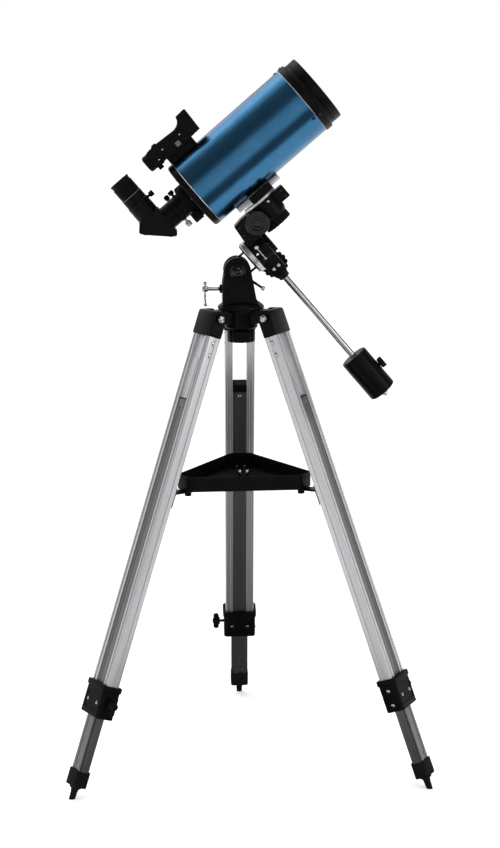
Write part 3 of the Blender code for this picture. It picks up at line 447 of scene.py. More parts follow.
def finished(obj, name, body, material, nodes=(), angle=35):
    """Shade and name a piece, tie it to its body, and hide the CAD nodes it stands for."""
    obj.name = name
    obj.data.name = name
    obj.data.materials.clear()
    obj.data.materials.append(MATERIALS[material])
    obj.data.shade_smooth()
    obj.data.set_sharp_from_angle(angle=math.radians(angle))
    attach(obj, body)
    if nodes:
        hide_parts(*nodes)
    return obj


def fine(obj, node, body, material, angle=35):
    """A finer piece in the place of one CAD node."""
    return finished(obj, "fine_" + node, body, material, [node], angle)


FASTENERS = {}


def fastener(name, body, matrix, radius, kind="rivet", material="chrome"):
    """A small head on a surface, with Z out of it. Equal heads are copied from one mesh."""
    key = (kind, round(radius / MM, 2))
    if key not in FASTENERS:
        height = radius * 0.55
        start = 0.35 * height
        dome = arc(0, start, 1, 90, 0, 7)
        profile = [(x * radius, start + (y - start) * (height - start)) for x, y in dome]
        obj = turned(profile + [(radius, -0.4 * MM), (0, -0.4 * MM)], Matrix(), 28)
        if kind == "screw":
            half = radius * 0.14
            reach = radius * 0.62
            bars = [
                box((-reach, -half, height * 0.45), (reach, half, height * 2), Matrix()),
                box((-half, -reach, height * 0.45), (half, reach, height * 2), Matrix()),
            ]
            cut(obj, *bars)
        FASTENERS[key] = obj.data
        bpy.data.objects.remove(obj)
    obj = new_object(FASTENERS[key].copy(), matrix)
    return finished(obj, name, body, material)


def thumbscrew(name, body, matrix, radius, height, stem=2.0 * MM, material="plastic"):
    """A knurled head on a short neck, along the frame's Z from its surface."""
    neck = height * 0.35
    obj = extruded([knurled(radius, radius * 0.12, 14)], neck, height, matrix, 0.4 * MM)
    collar = [
        (0, neck + 1 * MM), (radius * 0.62, neck + 1 * MM), (radius * 0.62, neck - 0.8 * MM),
        (stem, neck - 0.8 * MM), (stem, -1 * MM), (0, -1 * MM),
    ]
    join(obj, turned(collar, matrix, 32))
    return finished(obj, name, body, material)


# ---------------------------------------------------------------- tripod


def top_at(y):
    """Height up the leg of the casting's level top at a depth y."""
    return (CASTING_RISE + math.sin(LEG_TILT) * y) / math.cos(LEG_TILT)


def lug_outline(grow):
    end = arc(PIVOT_RADIUS, PIVOT_HEIGHT, 8 * MM + grow, 80, -90, 15)
    top = HUB_TOP + (6 * MM if grow else 0)
    bottom = HUB_BOTTOM + 7 * MM - grow
    return [(16 * MM, bottom), (16 * MM, top), (end[0][0], top)] + end


def tripod_hub():
    profile = [
        (5 * MM, HUB_TOP), (29 * MM, HUB_TOP), (29.7 * MM, HUB_TOP - 0.3 * MM),
        (30 * MM, HUB_TOP - 1 * MM), (30 * MM, HUB_TOP - 3.5 * MM),
        (HUB_RADIUS + 0.6 * MM, HUB_TOP - 5 * MM), (HUB_RADIUS, HUB_TOP - 6.5 * MM),
    ]
    profile += arc(HUB_RADIUS - 3 * MM, HUB_BOTTOM + 3 * MM, 3 * MM, 0, -90)
    hub = turned(profile + [(5 * MM, HUB_BOTTOM)], TRIPOD, 96, closed=True)
    half = 11 * MM
    lugs = [
        extruded([lug_outline(0)], -half, half, leg_upright_frame(name) @ XY_TO_XZ, 0.5 * MM)
        for name in LEGS
    ]
    join(hub, *lugs)
    for name in LEGS:
        cut(hub, cylinder(4.3 * MM, -half * 2, half * 2, leg_frame(name) @ Z_TO_X, 32))
    fine(hub, "tripod_hub", "tripod", "paint")


def azimuth_lock_knob():
    top = HUB_BOTTOM - GAP
    bottom = top - 20 * MM
    knob = extruded([knurled(20.5 * MM, 1.2 * MM, 12, 2.0)], bottom, top - 3 * MM, TRIPOD, 1.2 * MM, 3)
    screw = [
        (0, HUB_TOP + 16 * MM), (4.2 * MM, HUB_TOP + 15 * MM), (4.7 * MM, HUB_TOP + 14 * MM),
        (4.7 * MM, top - 0.5 * MM), (13 * MM, top - 0.5 * MM), (14 * MM, top - 4 * MM),
        (0, top - 6 * MM),
    ]
    join(knob, turned(screw, TRIPOD, 48))
    recess = turned([(0, bottom + 2 * MM), (14 * MM, bottom + 2 * MM), (15 * MM, bottom - 5 * MM),
                     (0, bottom - 5 * MM)], TRIPOD, 64)
    cut(knob, recess)
    fine(knob, "azimuth_lock_knob", "azimuth_knob", "plastic")


def leg_casting(name):
    matrix = leg_frame(name)
    outward = -11.5 * MM
    inward = 10 * MM
    foot = -28 * MM
    outline = [(outward, foot), (inward, foot)] + arc(0, 0, inward, 0, 52, 9)
    outline += [(y, top_at(y)) for y in (6.2 * MM, outward + 0.6 * MM)] + [(outward, 4.6 * MM)]
    half = CASTING_WIDTH / 2
    side = matrix @ PERMUTE_YZX
    casting = extruded([outline], -half, half, side, 1.2 * MM, 3)
    across = matrix @ Z_TO_X
    boss = half + 1.3 * MM
    join(casting, bevelled(cylinder(7.6 * MM, -boss, boss, across, 48), 0.5 * MM, 2))
    for side_name, sign in (("a", -1), ("b", 1)):
        inner, outer = sorted((sign * 11.6 * MM, sign * 13.6 * MM))
        tongue = box((inner, -5.7 * MM, -62 * MM), (outer, 5.7 * MM, foot + 4 * MM), matrix)
        finished(tongue, f"casting_tongue_{name}_{side_name}", "tripod", "aluminium")
    width = 11.4 * MM
    upright = leg_upright_frame(name) @ XY_TO_XZ
    recesses = [
        extruded([lug_outline(1.2 * MM)], -width, width, upright),
        cylinder(4.3 * MM, -40 * MM, 40 * MM, across, 32),
    ]
    for sign in (-1, 1):
        low, high = sorted((sign * (half - 0.8 * MM), sign * (half + 4 * MM)))
        panel = [
            (outward + 2.5 * MM, foot + 3 * MM), (-9 * MM, foot + 3 * MM),
            (-8.6 * MM, 5 * MM), (-8.6 * MM, 7.5 * MM), (outward + 2.5 * MM, 1 * MM),
        ]
        recesses.append(extruded([panel], low, high, side))
        recesses.append(turned(
            [(0, 4 * MM), (2.6 * MM, 4 * MM), (2.6 * MM, -0.8 * MM), (0, -0.8 * MM)],
            shifted(matrix, sign * half, 2 * MM, -21 * MM) @ (Z_TO_X if sign > 0 else Z_TO_MINUS_X),
            24,
        ))
    cut(casting, *recesses)
    fine(casting, "leg_casting_" + name, "tripod", "paint")


def hinge_bolt(name):
    face = CASTING_WIDTH / 2 + 1.6 * MM
    dome = arc(0, face + 1.2 * MM, 1, 90, 0, 8)
    rim = face + 1.2 * MM
    end = [(x * 5.4 * MM, rim + (y - rim) * 2.0 * MM) for x, y in dome]
    end += [(5.8 * MM, rim - 0.2 * MM), (5.8 * MM, face), (4 * MM, face)]
    profile = end + [(radius, -height) for radius, height in reversed(end)]
    matrix = leg_frame(name) @ Z_TO_X
    bolt = turned(profile, matrix, 48)
    sockets = []
    for sign in (-1, 1):
        low, high = sorted((sign * (face + 1.8 * MM), sign * (face + 5 * MM)))
        hexagon = arc(0, 0, 2.4 * MM, 0, 300, 6)
        sockets.append(extruded([hexagon], low, high, matrix))
    cut(bolt, *sockets)
    fine(bolt, "hinge_bolt_" + name, "tripod", "chrome")
    ring = [
        (5.9 * MM, 1.6 * MM), (7.4 * MM, 1.6 * MM), (8 * MM, 1 * MM),
        (8 * MM, -0.6 * MM), (5.9 * MM, -0.6 * MM),
    ]
    for side, turn in (("a", Z_TO_MINUS_X), ("b", Z_TO_X)):
        sign = 1 if side == "b" else -1
        spot = shifted(leg_frame(name), sign * face) @ turn
        washer = turned(ring, spot, 48, closed=True)
        finished(washer, f"hinge_washer_{name}_{side}", "tripod", "paint")


def rail_outline():
    """One of a leg's two rails, at +X: grooves outside and a channel for the inner leg."""
    near = RAIL_GAP / 2
    far = near + RAIL_WIDTH
    half = RAIL_DEPTH / 2
    groove = 1.1 * MM
    channel = CHANNEL_WIDTH / 2
    mid = (near + far) / 2
    round_corner = arc(far - 1.8 * MM, half - 1.8 * MM, 1.8 * MM, 90, 0, 6)
    quarter = [
        (near, channel), (near, half - 0.5 * MM), (near + 0.5 * MM, half),
        (mid - 2.1 * MM, half), (mid - 1.6 * MM, half - 0.4 * MM),
        (mid - 1.6 * MM, half - groove), (mid + 1.6 * MM, half - groove),
        (mid + 1.6 * MM, half - 0.4 * MM), (mid + 2.1 * MM, half),
    ]
    quarter += round_corner
    quarter += [(far, 2.7 * MM), (far - 0.4 * MM, 2.2 * MM), (far - groove, 2.2 * MM)]
    below = [(x, -y) for x, y in reversed(quarter)]
    return quarter + below + [(near + CHANNEL_DEPTH, -channel), (near + CHANNEL_DEPTH, channel)]


def leg_rails(name):
    outline = rail_outline()
    mirrored = [(-x, y) for x, y in reversed(outline)]
    for side, points in (("a", outline), ("b", mirrored)):
        rail = extruded([points], -RAIL_END, -RAIL_START, leg_frame(name))
        fine(rail, f"outer_rail_{name}_{side}", "tripod", "aluminium", 25)
    for sign, turn in ((-1, Z_TO_MINUS_X), (1, Z_TO_X)):
        for index, station in enumerate((37.5 * MM, 56 * MM)):
            flank = sign * (RAIL_GAP / 2 + RAIL_WIDTH - 1.1 * MM)
            spot = shifted(leg_frame(name), flank, 0, -station) @ turn
            label = f"rail_rivet_{name}_{'ab'[sign > 0]}_{index + 1}"
            fastener(label, "tripod", spot, 3.6 * MM)


def inner_leg(name):
    body = RAIL_GAP / 2 - GAP
    tongue = body + CHANNEL_DEPTH
    reach = CHANNEL_WIDTH / 2 - 0.3 * MM
    half = INNER_LEG_DEPTH / 2
    corner = [
        (tongue, reach), (body, reach), (body, half - 0.6 * MM), (body - 0.6 * MM, half),
        (5.6 * MM, half), (5.2 * MM, half - 0.8 * MM), (2.6 * MM, half - 0.8 * MM),
    ]
    outline = corner + [(-x, y) for x, y in reversed(corner)]
    outline += [(-x, -y) for x, y in corner] + [(x, -y) for x, y in reversed(corner)]
    wall = 2 * MM
    hollow = rounded(2 * (body - wall), 2 * (half - 2 * wall), 1 * MM, count=3)
    matrix = leg_frame(name)
    leg = extruded([outline, hollow], -INNER_LEG_END, -INNER_LEG_START, matrix)
    label = "lower_leg_" + name
    # The inner leg takes the darker aluminium copy: painted shade.
    fine(leg, "inner_leg_" + name, label, "shaded_aluminium", 25)
    top = 13 * MM
    shoulder = [
        (-body, 0), (body, 0), (body, top - 3 * MM), (body - 3 * MM, top),
        (3 * MM - body, top), (-body, top - 3 * MM),
    ]
    seat = shifted(matrix, 0, 0, -INNER_LEG_START + GAP)
    cap = extruded([shoulder], -half, 1 * MM, seat @ XY_TO_XZ, 0.8 * MM, 3)
    lid = box((-body, -half, top - 1.6 * MM), (body, 0, top), seat, 0.3 * MM)
    join(cap, lid)
    finished(cap, "inner_leg_cap_" + name, label, "plastic")
    plate = box((-body, -half, 0), (body, -half + 2 * MM, top - 1.8 * MM), seat, 0.2 * MM)
    # The plate takes the darker aluminium copy too: painted shade.
    finished(plate, "inner_leg_plate_" + name, label, "shaded_aluminium")
    spot = shifted(matrix, 0, half - 0.8 * MM, -INNER_LEG_START - 6.5 * MM) @ Z_TO_Y
    fastener(f"cap_screw_{name}", label, spot, 2.7 * MM, "screw")
    for sign, turn in ((-1, Z_TO_MINUS_Y), (1, Z_TO_Y)):
        face = "outer" if sign < 0 else "inner"
        for index, x in enumerate((-4.5 * MM, 4.5 * MM)):
            spot = shifted(matrix, x, sign * half, -FOOT_START + 8 * MM) @ turn
            fastener(f"foot_screw_{name}_{face}_{index + 1}", label, spot, 1.5 * MM, "screw")


def leg_clamp(name):
    """The collar at the end of the rails, which the inner leg slides through."""
    matrix = leg_frame(name)
    body = extruded([rounded(52 * MM, 29 * MM, 5 * MM)], -CLAMP_END, -CLAMP_START, matrix, 1.2 * MM, 3)
    rim = rounded(55 * MM, 32 * MM, 5.5 * MM)
    join(body, extruded([rim], -CLAMP_START - 7 * MM, -CLAMP_START + 1 * MM, matrix, 1 * MM, 3))
    wide = RAIL_GAP / 2 + RAIL_WIDTH + 0.4 * MM
    deep = RAIL_DEPTH / 2 + 0.4 * MM
    narrow = RAIL_GAP / 2 + CHANNEL_DEPTH + 0.4 * MM
    thin = INNER_LEG_DEPTH / 2 + 0.4 * MM
    middle = -(CLAMP_START + CLAMP_END) / 2
    across = shifted(matrix, 0, 0, middle) @ Z_TO_X
    tools = [
        box((-wide, -deep, -RAIL_END - 0.6 * MM), (wide, deep, -CLAMP_START + 5 * MM), matrix),
        box((-narrow, -thin, -CLAMP_END - 5 * MM), (narrow, thin, -CLAMP_START), matrix),
        cylinder(2.6 * MM, 15 * MM, 40 * MM, across, 32),
    ]
    for sign in (-1, 1):
        low, high = sorted((sign * 13.7 * MM, sign * 18 * MM))
        panel = shifted(matrix, 0, 0, middle - 3 * MM) @ XY_TO_XZ
        tools.append(extruded([rounded(38 * MM, 26 * MM, 3 * MM)], low, high, panel))
    cut(body, *tools)
    fine(body, "leg_clamp_" + name, "tripod", "plastic")
    for sign, turn in ((-1, Z_TO_MINUS_Y), (1, Z_TO_Y)):
        face = "outer" if sign < 0 else "inner"
        for index, x in enumerate((-13 * MM, 13 * MM)):
            spot = shifted(matrix, x, sign * 13.7 * MM, middle - 3 * MM) @ turn
            fastener(f"clamp_screw_{name}_{face}_{index + 1}", "tripod", spot, 2.6 * MM, "screw")
    for index, z in enumerate((middle + 8 * MM, middle - 14 * MM)):
        spot = shifted(matrix, -26 * MM, 0, z) @ Z_TO_MINUS_X
        fastener(f"clamp_rivet_{name}_{index + 1}", "tripod", spot, 3.0 * MM)


def leg_clamp_knob(name):
    middle = -(CLAMP_START + CLAMP_END) / 2
    matrix = shifted(leg_frame(name), 0, 0, middle)
    outline = arc(0, 10 * MM, 4.5 * MM, -20, 200, 15) + arc(0, -10 * MM, 4.5 * MM, 160, 380, 15)
    wing = shifted(matrix, 39 * MM) @ XY_TO_XZ
    knob = extruded([outline], -2.6 * MM, 2.6 * MM, wing, 1.1 * MM, 3)
    shank = [
        (0, 45 * MM), (3 * MM, 44.8 * MM), (4.5 * MM, 44 * MM), (5.5 * MM, 42 * MM),
        (6.5 * MM, 33 * MM), (2.2 * MM, 32.5 * MM), (2.2 * MM, 23.6 * MM), (0, 23.6 * MM),
    ]
    join(knob, turned(shank, matrix @ Z_TO_X, 40))
    fine(knob, "leg_clamp_knob_" + name, "clamp_knob_" + name, "plastic")


def foot(name):
    matrix = leg_frame(name)
    outline = rounded(29 * MM, 22 * MM, 4 * MM)
    block = extruded([outline], -FOOT_END, -FOOT_START, matrix, 1.8 * MM, 4)
    tip = [
        (0, -FOOT_END + 3 * MM), (9 * MM, -FOOT_END + 3 * MM), (9 * MM, -FOOT_END - 1 * MM),
        (8.4 * MM, -FOOT_END - 2.6 * MM), (6 * MM, -FOOT_END - 4 * MM),
        (5 * MM, -FOOT_END - 9 * MM), (4.4 * MM, -LEG_LENGTH - 4 * MM), (0, -LEG_LENGTH - 4 * MM),
    ]
    join(block, turned(tip, matrix, 48))
    wide = RAIL_GAP / 2 + CHANNEL_DEPTH + 0.1 * MM
    deep = INNER_LEG_DEPTH / 2 + 0.3 * MM
    cut(
        block,
        box((-wide, -deep, -INNER_LEG_END - GAP), (wide, deep, -FOOT_START + 5 * MM), matrix),
        box((-0.6, -0.6, -0.1), (0.6, 0.6, 0), Matrix()),
    )
    fine(block, "foot_" + name, "lower_leg_" + name, "rubber")


def tray_outline(inset, ease):
    """Triangle with its corners cut off square to the legs and eased."""
    corners = []
    reach = TRAY_REACH - inset
    half = TRAY_CORNER / 2 - inset * 0.6
    for name in LEGS:
        along = leg_upright_frame(name).to_3x3()
        for side in (-half, half):
            corners.append(along @ Vector((reach, side, 0)))
    points = []
    count = len(corners)
    for index, corner in enumerate(corners):
        before = (corners[index - 1] - corner).normalized() * ease
        after = (corners[(index + 1) % count] - corner).normalized() * ease
        for step in range(5):
            t = step / 4
            spot = corner + before * (1 - t) ** 2 + after * t ** 2
            points.append((spot.x, spot.y))
    return points


def accessory_tray():
    floor = TRAY_TOP - TRAY_HEIGHT
    tray = extruded([tray_outline(0, 5 * MM)], floor, TRAY_TOP, TRIPOD, 1 * MM, 3)
    inside = extruded([tray_outline(1.8 * MM, 4 * MM)], floor + 2.6 * MM, TRAY_TOP + 5 * MM, TRIPOD)
    cut(tray, inside)
    boss = [
        (0, floor + 5 * MM), (7 * MM, floor + 5 * MM), (8 * MM, floor + 4 * MM),
        (8.5 * MM, floor + 2 * MM), (0, floor + 2 * MM),
    ]
    ribs = [
        box((7 * MM, -0.8 * MM, floor + 2 * MM), (94 * MM, 0.8 * MM, floor + 4 * MM),
            leg_upright_frame(name))
        for name in LEGS
    ]
    join(tray, turned(boss, TRIPOD, 48), *ribs)
    fine(tray, "accessory_tray", "tripod", "plastic")
    fastener("tray_centre_screw", "tripod", shifted(TRIPOD, 0, 0, floor + 5 * MM), 4.2 * MM, "screw")
    for index, x in enumerate((-5.5 * MM, 5.5 * MM)):
        stud = [
            (0, TRAY_TOP - 1 * MM), (2 * MM, TRAY_TOP - 1.3 * MM), (2.4 * MM, TRAY_TOP - 2.4 * MM),
            (2.4 * MM, floor + 2 * MM), (0, floor + 2 * MM),
        ]
        post = turned(stud, shifted(TRIPOD, x, -12 * MM, 0), 24)
        finished(post, f"tray_stud_{index + 1}", "tripod", "chrome")
    for name in LEGS:
        upright = leg_upright_frame(name)
        for index, y in enumerate((-6 * MM, 6 * MM)):
            spot = shifted(upright, 97 * MM, y, floor + 2.8 * MM)
            fastener(f"tray_screw_{name}_{index + 1}", "tripod", spot, 2.2 * MM, "screw")
        peg = shifted(upright, 97 * MM, 0, floor - 2 * MM) @ Matrix.Rotation(math.pi, 4, "X")
        thumbscrew("tray_wing_screw_" + name, "tripod", peg, 5 * MM, 7 * MM, 1.8 * MM)


def tray_bracket(name):
    """The strap on a leg's inner face and the tab that carries a corner of the tray."""
    matrix = leg_frame(name)
    upright = leg_upright_frame(name)
    face = RAIL_DEPTH / 2 + GAP
    strap = box((-21 * MM, face, -285 * MM), (21 * MM, face + 2 * MM, -255 * MM), matrix, 0.6 * MM)
    top = TRAY_TOP - TRAY_HEIGHT - GAP
    tab = box((88 * MM, -11 * MM, top - 2 * MM), (131 * MM, 11 * MM, top), upright, 0.5 * MM)
    join(strap, tab)
    clearance = box((-30 * MM, face - 25 * MM, -320 * MM), (30 * MM, face, -220 * MM), matrix)
    cut(strap, clearance)
    fine(strap, "tray_bracket_" + name, "tripod", "paint")
    for index, x in enumerate((-17 * MM, 17 * MM)):
        for row, z in enumerate((-259.5 * MM, -280.5 * MM)):
            spot = shifted(matrix, x, face + 2 * MM, z) @ Z_TO_Y
            fastener(f"strap_rivet_{name}_{index + 1}_{row + 1}", "tripod", spot, 2.2 * MM)


# ---------------------------------------------------------------- equatorial head


def cheek_panel(grow):
    """The sunk panel on the tower's cheek, with round corners."""
    radius = 3 * MM + grow
    points = []
    for x, z, start, end in ((-17.5, 714, 180, 270), (14.5, 714, 270, 372), (10.4, 731, 12, 90),
                             (-17.5, 731, 90, 180)):
        points += arc(x * MM, z * MM, radius, start, end, 5)
    return points


def mount_base():
    """The tower: a round foot on the hub and two cheeks that hold the polar head."""
    bottom = HUB_TOP + GAP
    foot_profile = [
        (0, bottom + 12 * MM), (27 * MM, bottom + 10 * MM), (32.5 * MM, bottom + 5.6 * MM),
        (33 * MM, bottom + 4.6 * MM), (34.1 * MM, bottom + 4.1 * MM), (34.5 * MM, bottom + 3.4 * MM),
        (34.5 * MM, bottom + 0.5 * MM), (34 * MM, bottom), (0, bottom),
    ]
    side = TRIPOD @ XY_TO_XZ
    local = Vector((PIVOT.x - TRIPOD_AXIS.x, 0, PIVOT.z))
    outline = arc(local.x, local.z, 20 * MM, 15, 190, 33)
    outline += [
        (-27.5 * MM, 737 * MM), (-27.5 * MM, 704 * MM), (28 * MM, 704 * MM), (22.5 * MM, 716 * MM),
    ]
    half = 21 * MM
    base = extruded([outline], -half, half, side, 1.3 * MM, 3)
    join(base, turned(foot_profile, TRIPOD, 96))
    slot = [
        (-21.5 * MM, 722 * MM), (60 * MM, 722 * MM), (60 * MM, 800 * MM),
        (-60 * MM, 800 * MM), (-60 * MM, 738 * MM), (-21.5 * MM, 738 * MM),
    ]
    width = 11.4 * MM
    for sign in (-1, 1):
        low, high = sorted((sign * (half - 1 * MM), sign * (half + 0.8 * MM)))
        beads = [extruded([cheek_panel(1.6 * MM), cheek_panel(0)], low, high, side)]
        ring = [
            (17.2 * MM, 0.6 * MM), (18.4 * MM, 0.6 * MM), (18.8 * MM, 0.1 * MM),
            (18.8 * MM, -1 * MM), (16.8 * MM, -1 * MM), (16.8 * MM, 0.1 * MM),
        ]
        turn = Z_TO_Y if sign > 0 else Z_TO_MINUS_Y
        at = TRIPOD @ Matrix.Translation(local) @ Matrix.Translation((0, sign * half, 0)) @ turn
        join(base, *beads, turned(ring, at, 96, closed=True))
    tools = [extruded([slot], -width, width, side)]
    panel = cheek_panel(0)
    for sign in (-1, 1):
        low, high = sorted((sign * (half - 1.4 * MM), sign * (half + 3 * MM)))
        tools.append(extruded([panel], low, high, side))
        ring = [(13.2 * MM, 3 * MM), (14.4 * MM, 3 * MM), (14.4 * MM, -0.7 * MM), (13.2 * MM, -0.7 * MM)]
        turn = Z_TO_Y if sign > 0 else Z_TO_MINUS_Y
        at = TRIPOD @ Matrix.Translation(local) @ Matrix.Translation((0, sign * half, 0)) @ turn
        tools.append(turned(ring, at, 64, closed=True))
    across = TRIPOD @ Matrix.Translation(local) @ Z_TO_Y
    tools.append(cylinder(5.3 * MM, -30 * MM, 30 * MM, across))
    tools.append(cylinder(5.2 * MM, bottom - 5 * MM, bottom + 17 * MM, TRIPOD))
    along = shifted(TRIPOD, 0, 0, T_BOLT_HEIGHT) @ Z_TO_X
    tools.append(cylinder(3.3 * MM, -40 * MM, -15 * MM, along))
    cut(base, *tools)
    fine(base, "mount_base", "mount", "paint")


def latitude_pivot_bolt():
    matrix = Matrix.Translation(PIVOT) @ Z_TO_Y
    half = 21 * MM
    front = -half - 6.5 * MM
    dome = arc(0, 0, 1, 90, 0, 12)
    cap = [(x * 9 * MM, front - y * 6.4 * MM) for x, y in reversed(dome)]
    profile = [
        (0, half + 6 * MM), (6.5 * MM, half + 5.5 * MM), (7.5 * MM, half + 4 * MM),
        (7.5 * MM, half + GAP), (5 * MM, half + GAP), (5 * MM, front),
    ]
    bolt = turned(profile + cap[:-1] + [(0, front - 6.4 * MM)], matrix, 72)
    fine(bolt, "latitude_pivot_bolt", "mount", "gloss")
    washer = turned(
        [(8.4 * MM, -half - 6.35 * MM), (11.5 * MM, -half - 6.5 * MM), (11.5 * MM, -half - 7.6 * MM),
         (9.3 * MM, -half - 8.2 * MM), (8.4 * MM, -half - 7.8 * MM)],
        matrix, 64, closed=True,
    )
    finished(washer, "latitude_pivot_washer", "mount", "gloss")


def lever_end():
    """Where the latitude lever's ball sits, from the pivot."""
    return Vector((TRIPOD_AXIS.x + 32 * MM - PIVOT.x, 0, 732 * MM - PIVOT.z))


def latitude_lock_lever():
    matrix = Matrix.Translation(PIVOT)
    high = -22.2 * MM
    low = high - 5 * MM
    ring = [
        (5.4 * MM, high), (10 * MM, high), (10.5 * MM, high - 0.5 * MM), (10.5 * MM, low + 0.5 * MM),
        (10 * MM, low), (5.4 * MM, low),
    ]
    lever = turned(ring, matrix @ Z_TO_Y, 64, closed=True)
    end = lever_end()
    aim = Vector((0, 0, 1)).rotation_difference(end).to_matrix().to_4x4()
    arm = matrix @ Matrix.Translation((0, (low + high) / 2, 0)) @ aim
    reach = end.length
    stem = [(0, reach - 2 * MM), (1.7 * MM, reach - 2 * MM), (2.4 * MM, 9 * MM), (0, 9 * MM)]
    join(lever, turned(stem, arm, 32))
    fine(lever, "latitude_lock_lever", "latitude_lever", "paint")
    tip = ball(3.5 * MM, (0, 0, reach), arm)
    finished(tip, "latitude_lever_ball", "latitude_lever", "chrome")


def latitude_t_bolt():
    matrix = shifted(TRIPOD, 0, 0, T_BOLT_HEIGHT)
    along = matrix @ Z_TO_X
    profile = [
        (0, -22.5 * MM), (2.4 * MM, -22.5 * MM), (2.9 * MM, -23.5 * MM), (2.9 * MM, -48.5 * MM),
        (3.9 * MM, -48.8 * MM), (4.3 * MM, -49.4 * MM), (4.3 * MM, -55.8 * MM),
        (3.8 * MM, -56.7 * MM), (3 * MM, -57 * MM), (0, -57 * MM),
    ]
    bolt = turned(profile, along, 48)
    upright = shifted(matrix, -52.8 * MM)
    top = 8.5 * MM
    bottom = -23.5 * MM
    join(bolt, cylinder(1.5 * MM, bottom, top, upright, 32))
    join(bolt, ball(2.8 * MM, (0, 0, top), upright), ball(2.8 * MM, (0, 0, bottom), upright))
    fine(bolt, "latitude_t_bolt", "t_bolt", "chrome")
    collar = [
        (3.2 * MM, -27.8 * MM), (6.5 * MM, -27.8 * MM), (6.5 * MM, -30.6 * MM),
        (5.8 * MM, -31.2 * MM), (3.2 * MM, -31.2 * MM),
    ]
    finished(turned(collar, along, 48, closed=True), "t_bolt_lock_ring", "mount", "paint")


def polar_bracket():
    """Swings between the cheeks on the latitude pivot and carries the polar shaft."""
    half = 11 * MM
    side = HEAD @ XY_TO_XZ
    plate_low = -23.0 * MM
    plate_high = -21.2 * MM
    polar = HEAD @ Z_TO_X
    bracket = bevelled(cylinder(24.5 * MM, plate_low, plate_high, polar, 96), 0.5 * MM, 2)
    boss = head(PIVOT_U) @ Z_TO_Y
    added = [bevelled(cylinder(16.5 * MM, -half, half, boss, 72), 0.8 * MM, 2)]
    for w in (13.2, -3.3, -15.2):
        outline = rounded(abs(PIVOT_U) + plate_high - 1 * MM, 2.8 * MM, 0.6 * MM,
                          (PIVOT_U + plate_high - 1 * MM) / 2, w * MM, 3)
        added.append(extruded([outline], -4 * MM, 4 * MM, side, 0.4 * MM))
    pivot = Matrix.Translation(PIVOT)
    added.append(box((-8 * MM, -8 * MM, -29 * MM), (4 * MM, 8 * MM, -8 * MM), pivot, 1 * MM))
    join(bracket, *added)
    cut(
        bracket,
        cylinder(5.3 * MM, -30 * MM, 30 * MM, boss),
        cylinder(10 * MM, -40 * MM, -15 * MM, polar, 64),
    )
    fine(bracket, "polar_bracket", "polar", "paint")


def polar_parts():
    polar = HEAD @ Z_TO_X
    shaft = [
        (0, 16 * MM), (8.7 * MM, 16 * MM), (9.7 * MM, 15 * MM), (9.7 * MM, -22.6 * MM),
        (8.7 * MM, -23.6 * MM), (0, -23.6 * MM),
    ]
    fine(turned(shaft, polar, 64), "polar_shaft", "polar", "chrome")
    bore = 10 * MM
    radius = 26.5 * MM
    circle = [
        (bore, -13 * MM), (radius - 0.8 * MM, -13 * MM), (radius, -13.8 * MM),
        (radius, -20.1 * MM), (radius - 0.8 * MM, -20.9 * MM), (bore, -20.9 * MM),
    ]
    fine(turned(circle, polar, 128, closed=True), "ra_setting_circle", "polar", "silver")
    ticks = marks(polar, radius, -20.0 * MM, [4.4 * MM, 2 * MM, 2 * MM], 72, 0.45 * MM)
    finished(ticks, "ra_circle_marks", "polar", "ink")
    nut = extruded([knurled(16.4 * MM, 1.6 * MM, 14)], 12.4 * MM, 19.5 * MM, polar, 0.6 * MM)
    cut(nut, cylinder(bore, 5 * MM, 16.4 * MM, polar, 64))
    fine(nut, "polar_lock_nut", "polar", "paint")


def ra_housing():
    """Turns on the polar shaft. The counterweight's shaft screws into its lower end."""
    polar = HEAD @ Z_TO_X
    drum = [(0, 12 * MM), (22.5 * MM, 12 * MM)] + arc(22.5 * MM, 10 * MM, 2 * MM, 90, 0, 6)
    drum += [(24.5 * MM, -11.7 * MM), (23.5 * MM, -12.7 * MM), (0, -12.7 * MM)]
    housing = turned(drum, polar, 96)
    side = HEAD @ XY_TO_XZ
    outline = [
        (-12.7 * MM, -2 * MM), (-12.7 * MM, -40 * MM), (-8 * MM, -50 * MM), (8 * MM, -50 * MM),
        (12 * MM, -40 * MM), (12 * MM, -2 * MM),
    ]
    join(housing, extruded([outline], -17 * MM, 17 * MM, side, 1.8 * MM, 3))
    tools = [cylinder(10 * MM, -20 * MM, 20 * MM, polar, 64)]
    tools.append(cylinder(2.8 * MM, -8 * MM, 30 * MM, head(w=WORM_W) @ Z_TO_Y, 32))
    tools.append(cylinder(SHAFT_RADIUS + GAP, -60 * MM, -38.5 * MM, HEAD, 48))
    tools.append(cylinder(2.3 * MM, -40 * MM, -18 * MM, head(-3 * MM, 0, 9 * MM) @ Z_TO_Y, 32))
    cut(housing, *tools)
    fine(housing, "ra_housing", "ra", "paint")
    for index, u in enumerate((-4.5 * MM, 4.5 * MM)):
        spot = head(u, -17 * MM, WORM_W) @ Z_TO_MINUS_Y
        fastener(f"ra_block_screw_{index + 1}", "ra", spot, 2.6 * MM, "screw")
    collar = [
        (SHAFT_RADIUS + GAP, -49.6 * MM), (8.6 * MM, -49.6 * MM), (8.6 * MM, -53.5 * MM),
        (7.4 * MM, -54.8 * MM), (SHAFT_RADIUS + GAP, -54.8 * MM),
    ]
    finished(turned(collar, HEAD, 48, closed=True), "counterweight_shaft_collar", "ra", "paint")
    arrow = [(2.2 * MM, -1.9 * MM), (2.2 * MM, 1.9 * MM), (-2.2 * MM, 0)]
    pointer = extruded([arrow], 24.3 * MM, 24.75 * MM, head(-9 * MM) @ XY_TO_XZ)
    finished(pointer, "ra_pointer", "ra", "white")


